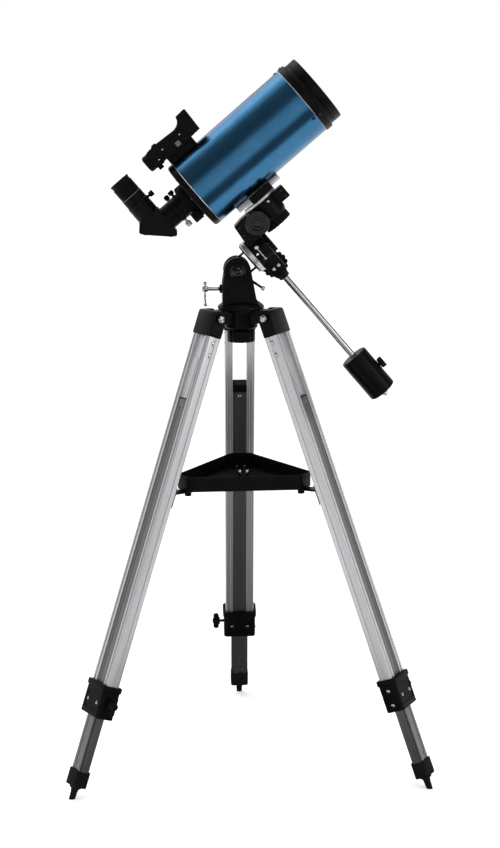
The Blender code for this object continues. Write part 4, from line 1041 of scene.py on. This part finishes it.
def slow_motion_knobs():
    matrix = head(w=WORM_W) @ Z_TO_Y
    knob = extruded([knurled(20.2 * MM, 2.2 * MM, 15, 1.4)], 21.5 * MM, 31.5 * MM, matrix, 0.9 * MM, 3)
    shaft = [
        (0, 33.5 * MM), (6 * MM, 33.4 * MM), (7.4 * MM, 32.6 * MM), (8 * MM, 30.5 * MM),
        (8 * MM, 17.6 * MM), (2.5 * MM, 17.6 * MM), (2.5 * MM, -6 * MM), (0, -6 * MM),
    ]
    join(knob, turned(shaft, matrix, 48))
    recess = [
        (9.5 * MM, 40 * MM), (16 * MM, 40 * MM), (15.4 * MM, 30 * MM), (9.5 * MM, 30 * MM),
    ]
    cut(knob, turned(recess, matrix, 72, closed=True))
    fine(knob, "ra_slow_motion_knob", "ra_knob", "plastic")

    matrix = head(DEC_WORM_U, 0, DEC_WORM_W) @ Z_TO_MINUS_Y
    face = 35 * MM
    profile = [(0, -6 * MM), (2.5 * MM, -6 * MM), (2.5 * MM, 24.4 * MM), (17 * MM, 24.4 * MM)]
    profile += [(18 * MM, 25.4 * MM), (18 * MM, 33 * MM)] + arc(16.5 * MM, 33.5 * MM, 1.5 * MM, 0, 90, 5)
    profile += [
        (14.8 * MM, face), (14.4 * MM, face - 1.6 * MM), (11.2 * MM, face - 1.8 * MM),
        (10.8 * MM, face - 0.6 * MM), (9.6 * MM, face - 0.4 * MM), (9.2 * MM, face - 1.8 * MM),
        (6.6 * MM, face - 1.8 * MM), (6 * MM, face), (4 * MM, face + 0.4 * MM), (0, face + 0.4 * MM),
    ]
    fine(turned(profile, matrix, 96), "dec_slow_motion_knob", "dec_knob", "gloss")


def ra_lock_lever():
    matrix = head(-3 * MM, 0, 9 * MM)
    stud = [
        (0, -19 * MM), (2 * MM, -19 * MM), (2 * MM, -25 * MM), (2.9 * MM, -25.1 * MM),
        (3.2 * MM, -25.5 * MM), (3.2 * MM, -28.6 * MM), (2.4 * MM, -29.6 * MM), (0, -29.6 * MM),
    ]
    lever = turned(stud, matrix @ Z_TO_Y, 40)
    arm = shifted(matrix, 0, -27 * MM)
    join(lever, cylinder(1.2 * MM, -20 * MM, 0, arm, 28), ball(2.3 * MM, (0, 0, -20.5 * MM), arm))
    fine(lever, "ra_lock_lever", "ra_lever", "chrome")


def dec_housing():
    """Bolted on the polar housing. The declination shaft turns in its drum."""
    dec = head(DEC_U)
    drum = [
        (0, 54.3 * MM), (23.2 * MM, 54.3 * MM), (24 * MM, 53.5 * MM), (24 * MM, 29 * MM),
        (23.6 * MM, 27.4 * MM), (21 * MM, 22 * MM), (0, 22 * MM),
    ]
    housing = turned(drum, dec, 96)
    neck = [
        (-13 * MM, 12 * MM), (21 * MM, 12 * MM), (22 * MM, 22.3 * MM), (46 * MM, 22.6 * MM),
        (46 * MM, 53.8 * MM), (6 * MM, 53.8 * MM), (-8.5 * MM, 51.5 * MM),
    ]
    added = [extruded([neck], -19 * MM, 19 * MM, HEAD @ XY_TO_XZ, 1.2 * MM, 3)]
    added.append(box((58 * MM, -14 * MM, 33 * MM), (84 * MM, 14 * MM, 53 * MM), HEAD, 1.8 * MM))
    join(housing, *added)
    worm = head(DEC_WORM_U, 0, DEC_WORM_W) @ Z_TO_Y
    cut(
        housing,
        cylinder(24.8 * MM, -30 * MM, 21.5 * MM, HEAD @ Z_TO_X, 96),
        cylinder(9.2 * MM, 0, 70 * MM, dec, 64),
        cylinder(2.8 * MM, -40 * MM, 8 * MM, worm, 32),
    )
    fine(housing, "dec_housing", "ra", "paint")
    spots = (
        ("dec_drum_screw", 53.5, -22.6, 48.5, "chrome"), ("neck_screw_1", -3.5, -19, 45.5, "gloss"),
        ("neck_screw_2", -5.5, -19, 33, "gloss"), ("worm_housing_screw_1", 78, -14, 48, "gloss"),
        ("worm_housing_screw_2", 78, -14, 38, "gloss"),
    )
    for name, u, v, w, material in spots:
        spot = head(u * MM, v * MM, w * MM) @ Z_TO_MINUS_Y
        fastener(name, "ra", spot, 2.1 * MM, "screw", material)


def dec_parts():
    dec = head(DEC_U)
    radius = 28 * MM
    circle = [
        (9.2 * MM, 58.5 * MM), (radius - 0.6 * MM, 58.5 * MM), (radius, 57.9 * MM),
        (radius, 55.2 * MM), (radius - 0.6 * MM, 54.6 * MM), (9.2 * MM, 54.6 * MM),
    ]
    fine(turned(circle, dec, 128, closed=True), "dec_setting_circle", "ra", "silver")
    ticks = marks(dec, radius, 55.3 * MM, [2.2 * MM, 1.2 * MM, 1.2 * MM], 72, 0.4 * MM)
    finished(ticks, "dec_circle_marks", "ra", "ink")

    plate = box((34.5 * MM, -24 * MM, 58.8 * MM), (72.5 * MM, 24 * MM, 69.2 * MM), HEAD, 1.0 * MM)
    shaft = [(0, 60 * MM), (8.9 * MM, 60 * MM), (8.9 * MM, 14.5 * MM), (7.9 * MM, 13.5 * MM), (0, 13.5 * MM)]
    join(plate, turned(shaft, dec, 64))
    cut(plate, dovetail(0, 110 * MM, 0.4 * MM))
    fine(plate, "saddle", "telescope", "paint")
    for index, u in enumerate((44 * MM, 63 * MM)):
        spot = head(u, -24 * MM, 64 * MM) @ Z_TO_MINUS_Y
        thumbscrew(f"saddle_clamp_screw_{index + 1}", "telescope", spot, 4.6 * MM, 8 * MM)
    fine(dovetail(11.5 * MM, 89 * MM, 0), "dovetail_bar", "telescope", "bar")

    nut = extruded([knurled(21.2 * MM, 2.2 * MM, 15, 1.4)], 11 * MM, 21.6 * MM, dec, 0.9 * MM, 3)
    cut(nut, cylinder(9.2 * MM, 13.2 * MM, 30 * MM, dec, 64))
    fine(nut, "dec_lock_nut", "telescope", "plastic")


def dovetail(start, end, grow):
    """A bar along u, wider on the side away from the tube."""
    low = 61.5 * MM - grow
    high = 69.4 * MM + (5 * MM if grow else 0)
    wide = 17 * MM + grow
    narrow = wide - 4 / 7.9 * (high - low)
    outline = [(-wide, low), (wide, low), (narrow, high), (-narrow, high)]
    return extruded([outline], start, end, HEAD @ PERMUTE_YZX, 0 if grow else 0.5 * MM)


def counterweight():
    r = SHAFT_RADIUS
    end = WEIGHT_BOTTOM - 5.5 * MM
    profile = [
        (0, -39 * MM), (r - 0.8 * MM, -39 * MM), (r, -39.8 * MM), (r, end + 1 * MM),
        (r - 1 * MM, end), (0, end),
    ]
    fine(turned(profile, HEAD, 64), "counterweight_shaft", "ra", "chrome")
    ease = 3 * MM
    upper = arc(WEIGHT_RADIUS - ease, WEIGHT_TOP - ease, ease, 90, 0)
    lower = arc(WEIGHT_RADIUS - ease, WEIGHT_BOTTOM + ease, ease, 0, -90)
    profile = [(r + GAP, WEIGHT_TOP)] + upper + lower + [(r + GAP, WEIGHT_BOTTOM)]
    weight = turned(profile, HEAD, 112, closed=True)
    middle = (WEIGHT_TOP + WEIGHT_BOTTOM) / 2
    screw = head(w=middle) @ Z_TO_X
    cut(weight, cylinder(3.2 * MM, 2 * MM, 30 * MM, screw, 32))
    fine(weight, "counterweight", "counterweight", "paint")
    knob = extruded([knurled(8.5 * MM, 0.9 * MM, 10, 1.6)], 23 * MM, 30 * MM, screw, 0.8 * MM, 3)
    shank = [
        (0, 29 * MM), (6.8 * MM, 29 * MM), (6.8 * MM, 21.8 * MM), (2.8 * MM, 21.8 * MM),
        (2.8 * MM, 6 * MM), (0, 6 * MM),
    ]
    join(knob, turned(shank, screw, 40))
    fine(knob, "counterweight_knob", "weight_knob", "plastic")
    below = head(3.4 * MM, 0, end + 0.3 * MM) @ Matrix.Rotation(math.pi, 4, "X")
    stop = [(0, 3.2 * MM), (2 * MM, 3.2 * MM), (2.6 * MM, 2.4 * MM), (2.6 * MM, -0.5 * MM), (0, -0.5 * MM)]
    finished(turned(stop, shifted(below, -3.4 * MM), 32), "counterweight_stop_screw", "ra", "chrome")


# ---------------------------------------------------------------- telescope


def optical_tube():
    lip = 0.4 * MM
    profile = [
        (TUBE_INSIDE, TUBE_FRONT), (TUBE_RADIUS - lip, TUBE_FRONT), (TUBE_RADIUS, TUBE_FRONT - lip),
        (TUBE_RADIUS, TUBE_REAR + lip), (TUBE_RADIUS - lip, TUBE_REAR), (TUBE_INSIDE, TUBE_REAR),
    ]
    fine(turned(profile, TUBE, 160, closed=True), "optical_tube", "telescope", "blue")
    lining = [
        (TUBE_INSIDE - 0.1 * MM, 176 * MM), (TUBE_INSIDE - 0.1 * MM, -7 * MM),
        (TUBE_INSIDE - 0.6 * MM, -7 * MM), (TUBE_INSIDE - 0.6 * MM, 176 * MM),
    ]
    finished(turned(lining, TUBE, 96, closed=True), "tube_lining", "telescope", "rubber")
    for name, u in (("front", TUBE_FRONT - 0.1 * MM), ("rear", TUBE_REAR - 0.7 * MM)):
        ring = [
            (TUBE_RADIUS - 1.2 * MM, u + 0.8 * MM), (TUBE_RADIUS + 0.1 * MM, u + 0.8 * MM),
            (TUBE_RADIUS + 0.35 * MM, u + 0.4 * MM), (TUBE_RADIUS + 0.1 * MM, u),
            (TUBE_RADIUS - 1.2 * MM, u),
        ]
        obj = turned(ring, TUBE, 128, closed=True)
        finished(obj, f"tube_{name}_trim", "telescope", "silver")


def front_cell():
    start = TUBE_FRONT + 1 * MM
    lip = TUBE_INSIDE - GAP
    profile = [(47 * MM, FRONT_END - 1 * MM), (48 * MM, FRONT_END), (51.4 * MM, FRONT_END)]
    profile += arc(51.8 * MM, FRONT_END - 1.2 * MM, 1.2 * MM, 90, 0, 6)
    profile += grooved(53 * MM, 205 * MM, 200 * MM, 3, 0.45 * MM)
    profile += [(53 * MM, 198 * MM), (53.4 * MM, 197.2 * MM), (55.6 * MM, 196.4 * MM)]
    profile += [(56.3 * MM, 195.6 * MM), (56.3 * MM, start + 1.2 * MM), (55.4 * MM, start)]
    profile += [(lip, start), (lip, start - 8 * MM), (44.5 * MM, start - 8 * MM), (44.5 * MM, 190 * MM)]
    profile += [(47 * MM, 190 * MM)]
    inner = [(47 * MM, 205.5 * MM), (46 * MM, 205 * MM), (46 * MM, 203.2 * MM), (47 * MM, 203 * MM)]
    fine(turned(profile + inner, TUBE, 144, closed=True), "front_cell", "telescope", "paint")
    for index in range(3):
        spin = Matrix.Rotation(math.radians(120 * index + 180), 4, "Z")
        spot = TUBE @ spin @ Matrix.Translation((56.2 * MM, 0, 190.5 * MM)) @ Z_TO_X
        fastener(f"front_cell_screw_{index + 1}", "telescope", spot, 2.0 * MM, "screw", "gloss")
        spot = TUBE @ spin @ Matrix.Translation((54.9 * MM, 0, 180 * MM)) @ Z_TO_X
        fastener(f"tube_screw_{index + 1}", "telescope", spot, 2.6 * MM, "screw", "gloss")


def lens_face(edge, rim, sag, steps=16):
    return [(edge * i / steps, rim - sag * (1 - (i / steps) ** 2)) for i in range(steps + 1)]


def optics():
    edge = 46.6 * MM
    front = lens_face(edge, 202 * MM, 5 * MM)
    back = [(radius, height - 9 * MM) for radius, height in reversed(front)]
    fine(turned(front + back, TUBE, 96), "corrector_lens", "telescope", "glass")
    spot = [(0, 187.6 * MM), (10 * MM, 187.8 * MM), (10 * MM, 187.2 * MM), (0, 187 * MM)]
    finished(turned(spot, TUBE, 48), "secondary_mirror", "telescope", "mirror")
    tube = [
        (10.6 * MM, 108 * MM), (11.4 * MM, 108 * MM), (13.2 * MM, -11 * MM), (12.2 * MM, -11 * MM),
    ]
    finished(turned(tube, TUBE, 64, closed=True), "baffle_tube", "telescope", "rubber")
    radius = 50.5 * MM
    hole = 14 * MM
    steps = 12
    spread = [hole + (radius - hole) * i / steps for i in range(steps + 1)]
    face = [(r, 3 * MM - 3.2 * MM * (1 - (r / radius) ** 2)) for r in spread]
    mirror = turned(face + [(radius, -8.4 * MM), (hole, -8.4 * MM)], TUBE, 96, closed=True)
    fine(mirror, "primary_mirror", "telescope", "mirror")


def rear_cell():
    lip = TUBE_INSIDE - GAP
    seat = TUBE_REAR - 1 * MM
    radius = TUBE_RADIUS - 0.4 * MM
    ease = 4 * MM
    corner = arc(radius - ease, CELL_REAR + ease, ease, 0, -90, 10)
    profile = [
        (16.6 * MM, -12 * MM), (44 * MM, -12 * MM), (44 * MM, -9 * MM), (lip, -9 * MM),
        (lip, seat), (radius, seat),
    ]
    profile += corner + [
        (46 * MM, CELL_REAR), (45.4 * MM, CELL_REAR + 0.8 * MM), (43.6 * MM, CELL_REAR + 0.8 * MM),
        (43 * MM, CELL_REAR), (16.6 * MM, CELL_REAR),
    ]
    cell = turned(profile, TUBE, 144, closed=True)
    knob = focus_frame()
    cut(cell, cylinder(3.3 * MM, -40 * MM, 0, knob, 32))
    fine(cell, "rear_cell", "telescope", "paint")
    for index in range(6):
        spin = Matrix.Rotation(math.radians(60 * index + 30), 4, "Z")
        spot = TUBE @ spin @ Matrix.Translation((39 * MM, 0, CELL_REAR)) @ Matrix.Rotation(math.pi, 4, "X")
        fastener(f"rear_cell_screw_{index + 1}", "telescope", spot, 2.0 * MM, "screw", "chrome")


def visual_back():
    """The threaded ring and tube that hold the star diagonal."""
    bore = NOSE_RADIUS + GAP
    end = VISUAL_BACK_END
    ring = extruded([knurled(25.5 * MM, 0.6 * MM, 48)], -39.5 * MM, CELL_REAR - GAP, TUBE, 0.6 * MM)
    sleeve = [
        (0, -36 * MM), (24.3 * MM, -36 * MM), (24.3 * MM, -40.5 * MM), (23.8 * MM, -41 * MM),
        (18.9 * MM, -42 * MM), (18.5 * MM, -43 * MM), (18.5 * MM, -50 * MM), (18.1 * MM, -50.4 * MM),
        (18.1 * MM, -51.4 * MM), (18.5 * MM, -51.8 * MM), (18.5 * MM, end + 0.8 * MM),
        (17.7 * MM, end), (0, end),
    ]
    join(ring, turned(sleeve, TUBE, 96))
    cut(ring, cylinder(bore, end - 5 * MM, CELL_REAR + 5 * MM, TUBE, 72))
    fine(ring, "visual_back", "telescope", "paint")
    above = head(-46.5 * MM, 0, TUBE_W + 18.4 * MM)
    thumbscrew("visual_back_screw_1", "telescope", above, 4.2 * MM, 9 * MM)
    front = shifted(TUBE, z=-56.2 * MM) @ Matrix.Rotation(math.radians(155), 4, "Z")
    thumbscrew("visual_back_screw_2", "telescope", shifted(front, 18.4 * MM) @ Z_TO_X, 4 * MM, 9 * MM)
    below = head(-55.6 * MM, 0, TUBE_W - 18.4 * MM) @ Matrix.Rotation(math.pi, 4, "X")
    thumbscrew("visual_back_screw_3", "telescope", below, 4.4 * MM, 12 * MM, 2 * MM, "chrome")


def focus_frame():
    at = point_on("focus")
    local = TUBE.inverted() @ at
    return shifted(TUBE, local.x, local.y)


def focus_knob():
    matrix = focus_frame()
    knob = extruded([knurled(7.8 * MM, 0.7 * MM, 14, 1.5)], -45 * MM, -30.5 * MM, matrix, 0.6 * MM, 3)
    shaft = [
        (0, -14 * MM), (3 * MM, -14 * MM), (3 * MM, -27.8 * MM), (5.5 * MM, -27.8 * MM),
        (5.5 * MM, -32 * MM), (0, -32 * MM),
    ]
    join(knob, turned(shaft, matrix, 40))
    fine(knob, "focus_knob", "focuser", "plastic")


def star_diagonal():
    """Turns the light through a right angle towards the eyepiece."""
    side = HEAD @ XY_TO_XZ
    outline = [
        (-75 * MM, 102 * MM), (-75 * MM, 146 * MM), (-110 * MM, 146 * MM), (-118.5 * MM, 137 * MM),
        (-118.5 * MM, 133.5 * MM), (-82 * MM, 97.5 * MM), (-79 * MM, 97.5 * MM),
    ]
    body = extruded([outline], -17.5 * MM, 17.5 * MM, side, 1.4 * MM, 3)
    nose = [
        (0, -45 * MM), (NOSE_RADIUS - 0.6 * MM, -45 * MM), (NOSE_RADIUS, -45.6 * MM),
        (NOSE_RADIUS, VISUAL_BACK_END - GAP), (17.4 * MM, VISUAL_BACK_END - GAP),
        (18 * MM, VISUAL_BACK_END - 0.9 * MM), (18 * MM, -76 * MM), (0, -76 * MM),
    ]
    holder = head(EYEPIECE_U)
    profile = [
        (0, HOLDER_TOP), (16.8 * MM, HOLDER_TOP), (17.5 * MM, HOLDER_TOP - 0.7 * MM),
        (17.5 * MM, 164 * MM), (17.1 * MM, 163.6 * MM), (17.1 * MM, 162.6 * MM),
        (17.5 * MM, 162.2 * MM), (17.5 * MM, 147 * MM), (18.6 * MM, 146.4 * MM),
        (18.6 * MM, 140 * MM), (0, 140 * MM),
    ]
    join(body, turned(nose, TUBE, 80), turned(profile, holder, 80))
    tools = [cylinder(NOSE_RADIUS + GAP, 150 * MM, 190 * MM, holder, 72)]
    for sign in (-1, 1):
        low, high = sorted((sign * 17.1 * MM, sign * 20 * MM))
        panel = [
            (-79 * MM, 106 * MM), (-79 * MM, 142 * MM), (-107 * MM, 142 * MM),
            (-112.5 * MM, 136 * MM), (-82.5 * MM, 105 * MM),
        ]
        tools.append(extruded([panel], low, high, side))
    cut(body, *tools)
    fine(body, "star_diagonal", "diagonal", "paint")
    corner = Vector((-118.5 * MM, 0, 133.5 * MM))
    slope = (Vector((-82 * MM, 0, 97.5 * MM)) - corner)
    along = slope.normalized()
    normal = Vector((along.z, 0, -along.x))
    if normal.z > 0:
        normal = -normal
    plate = HEAD @ frame_from(corner + slope / 2, along, normal.cross(along), normal)
    cover = extruded([rounded(44 * MM, 30 * MM, 3 * MM)], -0.4 * MM, 0.9 * MM, plate, 0.4 * MM)
    finished(cover, "diagonal_cover_plate", "diagonal", "paint")
    for index, (x, y) in enumerate(((-19, -12), (19, -12), (19, 12), (-19, 12))):
        fastener(f"diagonal_screw_{index + 1}", "diagonal", shifted(plate, x * MM, y * MM, 0.9 * MM),
                 1.6 * MM, "screw")
    spot = head(EYEPIECE_U + 17.4 * MM, 0, 167.3 * MM) @ Z_TO_X
    thumbscrew("eyepiece_holder_screw", "diagonal", spot, 4.2 * MM, 10 * MM)


def eyepiece():
    matrix = head(EYEPIECE_U)
    top = EYEPIECE_TOP
    profile = [(0, top - 5 * MM), (9 * MM, top - 5 * MM), (9.6 * MM, top - 3 * MM), (13 * MM, top - 0.5 * MM)]
    profile += arc(15.3 * MM, top - 1.2 * MM, 1.2 * MM, 110, -60, 9)
    profile += [(15.4 * MM, top - 4 * MM), (15.4 * MM, top - 7 * MM), (16.2 * MM, top - 7.6 * MM)]
    profile += grooved(16.4 * MM, 203 * MM, 190 * MM, 9, 0.5 * MM)
    profile += [(16.4 * MM, 188 * MM), (15.9 * MM, 187.5 * MM), (15.9 * MM, 186.3 * MM)]
    profile += [(16.6 * MM, 185.8 * MM), (16.6 * MM, HOLDER_TOP + 1 * MM), (16 * MM, HOLDER_TOP + GAP)]
    profile += [(NOSE_RADIUS, HOLDER_TOP + GAP), (NOSE_RADIUS, 152 * MM), (0, 152 * MM)]
    fine(turned(profile, matrix, 96), "eyepiece", "ocular", "plastic")
    lens = [(0, top - 3.6 * MM), (4 * MM, top - 3.9 * MM), (7.6 * MM, top - 4.9 * MM), (0, top - 5.2 * MM)]
    finished(turned(lens, matrix, 48), "eye_lens", "ocular", "gloss")
    band = [(16.3 * MM, 184.6 * MM), (16.72 * MM, 184.4 * MM), (16.72 * MM, 183.6 * MM), (16.3 * MM, 183.4 * MM)]
    finished(turned(band, matrix, 96, closed=True), "eyepiece_band", "ocular", "dial")


def red_dot_finder():
    side = HEAD @ XY_TO_XZ
    upper = [
        (-24 * MM, 188.7 * MM), (-22 * MM, 190.2 * MM), (27 * MM, 191 * MM), (47 * MM, 192 * MM),
        (48.5 * MM, 226 * MM),
    ]
    upper += arc(46 * MM, 225.8 * MM, 2.3 * MM, 10, 100, 5)
    upper += arc(32.5 * MM, 225.2 * MM, 2.2 * MM, 95, 180, 5)
    upper += [
        (29 * MM, 221.5 * MM), (26 * MM, 218.3 * MM), (22 * MM, 215.8 * MM), (16 * MM, 214.5 * MM),
        (-16 * MM, 216.6 * MM), (-18 * MM, 218.8 * MM), (-23.5 * MM, 218.8 * MM),
        (-25.5 * MM, 216.4 * MM),
    ]
    upper += arc(-33 * MM, 210.6 * MM, 5.4 * MM, 90, 180, 7)
    upper += arc(-33.4 * MM, 193.7 * MM, 5 * MM, 180, 270, 7)
    body = extruded([upper], -12.6 * MM, 12.6 * MM, side, 2.6 * MM, 4)
    clear = TUBE_RADIUS + GAP
    added = [box((-18 * MM, -9 * MM, 172 * MM), (30 * MM, 9 * MM, 194 * MM), HEAD, 1 * MM)]
    added.append(box((-15 * MM, -11 * MM, 172 * MM), (27 * MM, 11 * MM, 185 * MM), HEAD, 1 * MM))
    barrel = [(0, -30 * MM), (12.8 * MM, -30 * MM)]
    barrel += arc(9 * MM, -43.4 * MM, 3.8 * MM, 0, -90, 8) + [(0, -47.2 * MM)]
    rear = shifted(HEAD, z=202 * MM) @ Z_TO_X
    added.append(turned(barrel, rear, 64))
    join(body, *added)
    window = rounded(18 * MM, 10 * MM, 3 * MM, 0, 220.5 * MM)
    tools = [
        extruded([window], 15 * MM, 60 * MM, HEAD @ PERMUTE_YZX),
        cylinder(clear, -80 * MM, 80 * MM, TUBE, 160),
        turned([(0, -46 * MM), (7.4 * MM, -46 * MM), (7.8 * MM, -60 * MM), (0, -60 * MM)], rear, 48),
        box((-34 * MM, -30 * MM, 202 * MM), (29 * MM, -12.2 * MM, 203 * MM), HEAD),
        box((-34 * MM, 12.2 * MM, 202 * MM), (29 * MM, 30 * MM, 203 * MM), HEAD),
    ]
    cut(body, *tools)
    fine(body, "red_dot_finder", "telescope", "plastic")
    glass = extruded([rounded(18.6 * MM, 10.6 * MM, 3 * MM, 0, 220.5 * MM)], 41 * MM, 42.5 * MM,
                     HEAD @ PERMUTE_YZX)
    finished(glass, "finder_window", "telescope", "red_glass")
    dial = extruded([knurled(4.4 * MM, 0.5 * MM, 20)], -3.6 * MM, 3.6 * MM,
                    head(9 * MM, -10.6 * MM, 196.5 * MM), 0.4 * MM)
    finished(dial, "finder_brightness_dial", "telescope", "dial")
    pins = (("finder_pin_1", 19, 205), ("finder_pin_2", -14, 205), ("finder_pin_3", -27, 197))
    for name, u, w in pins:
        fastener(name, "telescope", head(u * MM, -12.5 * MM, w * MM) @ Z_TO_MINUS_Y, 1.3 * MM)
    for index, u in enumerate((-8 * MM, 18 * MM)):
        spot = head(u, -11 * MM, 182.5 * MM) @ Z_TO_MINUS_Y
        thumbscrew(f"finder_foot_screw_{index + 1}", "telescope", spot, 4.2 * MM, 8 * MM)
    below = head(-32 * MM, 0, 191 * MM) @ Matrix.Rotation(math.pi, 4, "X")
    thumbscrew("finder_adjusting_screw", "telescope", below, 4 * MM, 7 * MM)


# ---------------------------------------------------------------- studio


def floor():
    bm = bmesh.new()
    bmesh.ops.create_grid(bm, x_segments=1, y_segments=1, size=30)
    obj = object_of(bm, Matrix())
    obj.name = "studio_floor"
    nodes = Nodes("pale_floor").set(
        Base_Color=(0.88, 0.88, 0.88, 1), Roughness=0.7,
        Emission_Color=(0.5, 0.5, 0.5, 1), Emission_Strength=1.0,
    )
    obj.data.materials.append(nodes.material)


def dark_card(name, centre, facing, along, width, length):
    """A black card that only reflections see, as a photographer's flag shapes a highlight."""
    x = along.cross(facing).normalized()
    matrix = frame_from(Vector(centre), x, facing.cross(x).normalized(), facing.normalized())
    obj = extruded([rounded(width, length, 0.02)], -0.005, 0.0, matrix)
    obj.name = name
    obj.data.materials.append(Nodes(name).set(
        Base_Color=(0.10, 0.10, 0.10, 1), Roughness=1.0, Specular_IOR_Level=0.0,
    ).material)
    obj.visible_camera = False
    obj.visible_diffuse = False
    obj.visible_transmission = False
    obj.visible_shadow = False


def area_light(name, location, target, size, power, height=None):
    light = bpy.data.lights.new(name, "AREA")
    light.energy = power
    light.shape = "RECTANGLE"
    light.size = size
    light.size_y = height or size
    obj = bpy.data.objects.new(name, light)
    bpy.context.scene.collection.objects.link(obj)
    aim = Vector(target) - Vector(location)
    obj.matrix_world = Matrix.Translation(location) @ aim.to_track_quat("-Z", "Y").to_matrix().to_4x4()
    obj.visible_camera = False


def studio():
    """A white horizon, a darker ceiling and a few soft boxes."""
    world = bpy.data.worlds.new("studio")
    bpy.context.scene.world = world
    world.use_nodes = True
    tree = world.node_tree
    background = tree.nodes["Background"]
    direction = tree.nodes.new("ShaderNodeTexCoord").outputs["Generated"]
    split = tree.nodes.new("ShaderNodeSeparateXYZ")
    ramp = tree.nodes.new("ShaderNodeValToRGB")
    stops = ((0.0, 1.0), (0.22, 1.0), (0.34, 0.22), (0.7, 0.16), (1.0, 0.35))
    elements = ramp.color_ramp.elements
    for position, value in stops[1:-1]:
        elements.new(position).color = (value, value, value, 1)
    elements[0].color = (stops[0][1],) * 3 + (1,)
    elements[-1].color = (stops[-1][1],) * 3 + (1,)
    tree.links.new(direction, split.inputs["Vector"])
    tree.links.new(split.outputs["Z"], ramp.inputs["Fac"])
    tree.links.new(ramp.outputs["Color"], background.inputs["Color"])
    background.inputs["Strength"].default_value = 1.0
    middle = (0, TRIPOD_AXIS.y, 0.75)
    area_light("key", (-1.24, 1.39, 2.17), middle, 1.8, 15, 2.0)
    area_light("fill", (2.3, -1.7, 1.3), middle, 0.8, 14, 1.4)
    area_light("strip", (0.4, -1.4, 2.6), middle, 1.6, 14, 0.3)
    up = Vector((0, 0, 1))
    dark_card("flag_upper", (-0.79, -1.43, 1.72), Vector((0.50, 0.74, -0.45)), POLAR, 0.75, 2.6)
    dark_card("flag_front_floor", (0.55, -1.9, 0.004), up, Vector((1, 0, 0)), 2.0, 2.4)
    dark_card("flag_between_legs", (0.05, -0.1, 0.004), up, Vector((1, 0, 0)), 0.8, 0.6)
    sun = bpy.data.lights.new("overhead", "SUN")
    sun.energy = 1.3
    sun.angle = math.radians(70)
    obj = bpy.data.objects.new("overhead", sun)
    obj.rotation_euler = (math.radians(-14), math.radians(-8), 0)
    bpy.context.scene.collection.objects.link(obj)


def camera():
    data = bpy.data.cameras.new("camera")
    data.lens = 77.7
    data.sensor_width = 36
    obj = bpy.data.objects.new("camera", data)
    bpy.context.scene.collection.objects.link(obj)
    forward = Vector((0.04203, 0.98102, -0.18931)).normalized()
    right = forward.cross(Vector((0.02100, 0.18857, 0.98184))).normalized()
    offset = Vector((-0.1042, -2.6961, 1.0452))
    obj.matrix_world = frame_from(
        TRIPOD.translation + offset, right, right.cross(forward), -forward
    )
    bpy.context.scene.camera = obj
    bpy.context.scene.view_settings.view_transform = "Standard"


def build():
    tripod_hub()
    azimuth_lock_knob()
    for name in LEGS:
        leg_casting(name)
        hinge_bolt(name)
        leg_rails(name)
        inner_leg(name)
        leg_clamp(name)
        leg_clamp_knob(name)
        foot(name)
        tray_bracket(name)
    accessory_tray()
    mount_base()
    latitude_pivot_bolt()
    latitude_lock_lever()
    latitude_t_bolt()
    polar_bracket()
    polar_parts()
    ra_housing()
    slow_motion_knobs()
    ra_lock_lever()
    dec_housing()
    dec_parts()
    counterweight()
    optical_tube()
    front_cell()
    optics()
    rear_cell()
    visual_back()
    focus_knob()
    star_diagonal()
    eyepiece()
    red_dot_finder()


build()
floor()
studio()
camera()

bpy.context.view_layer.update()
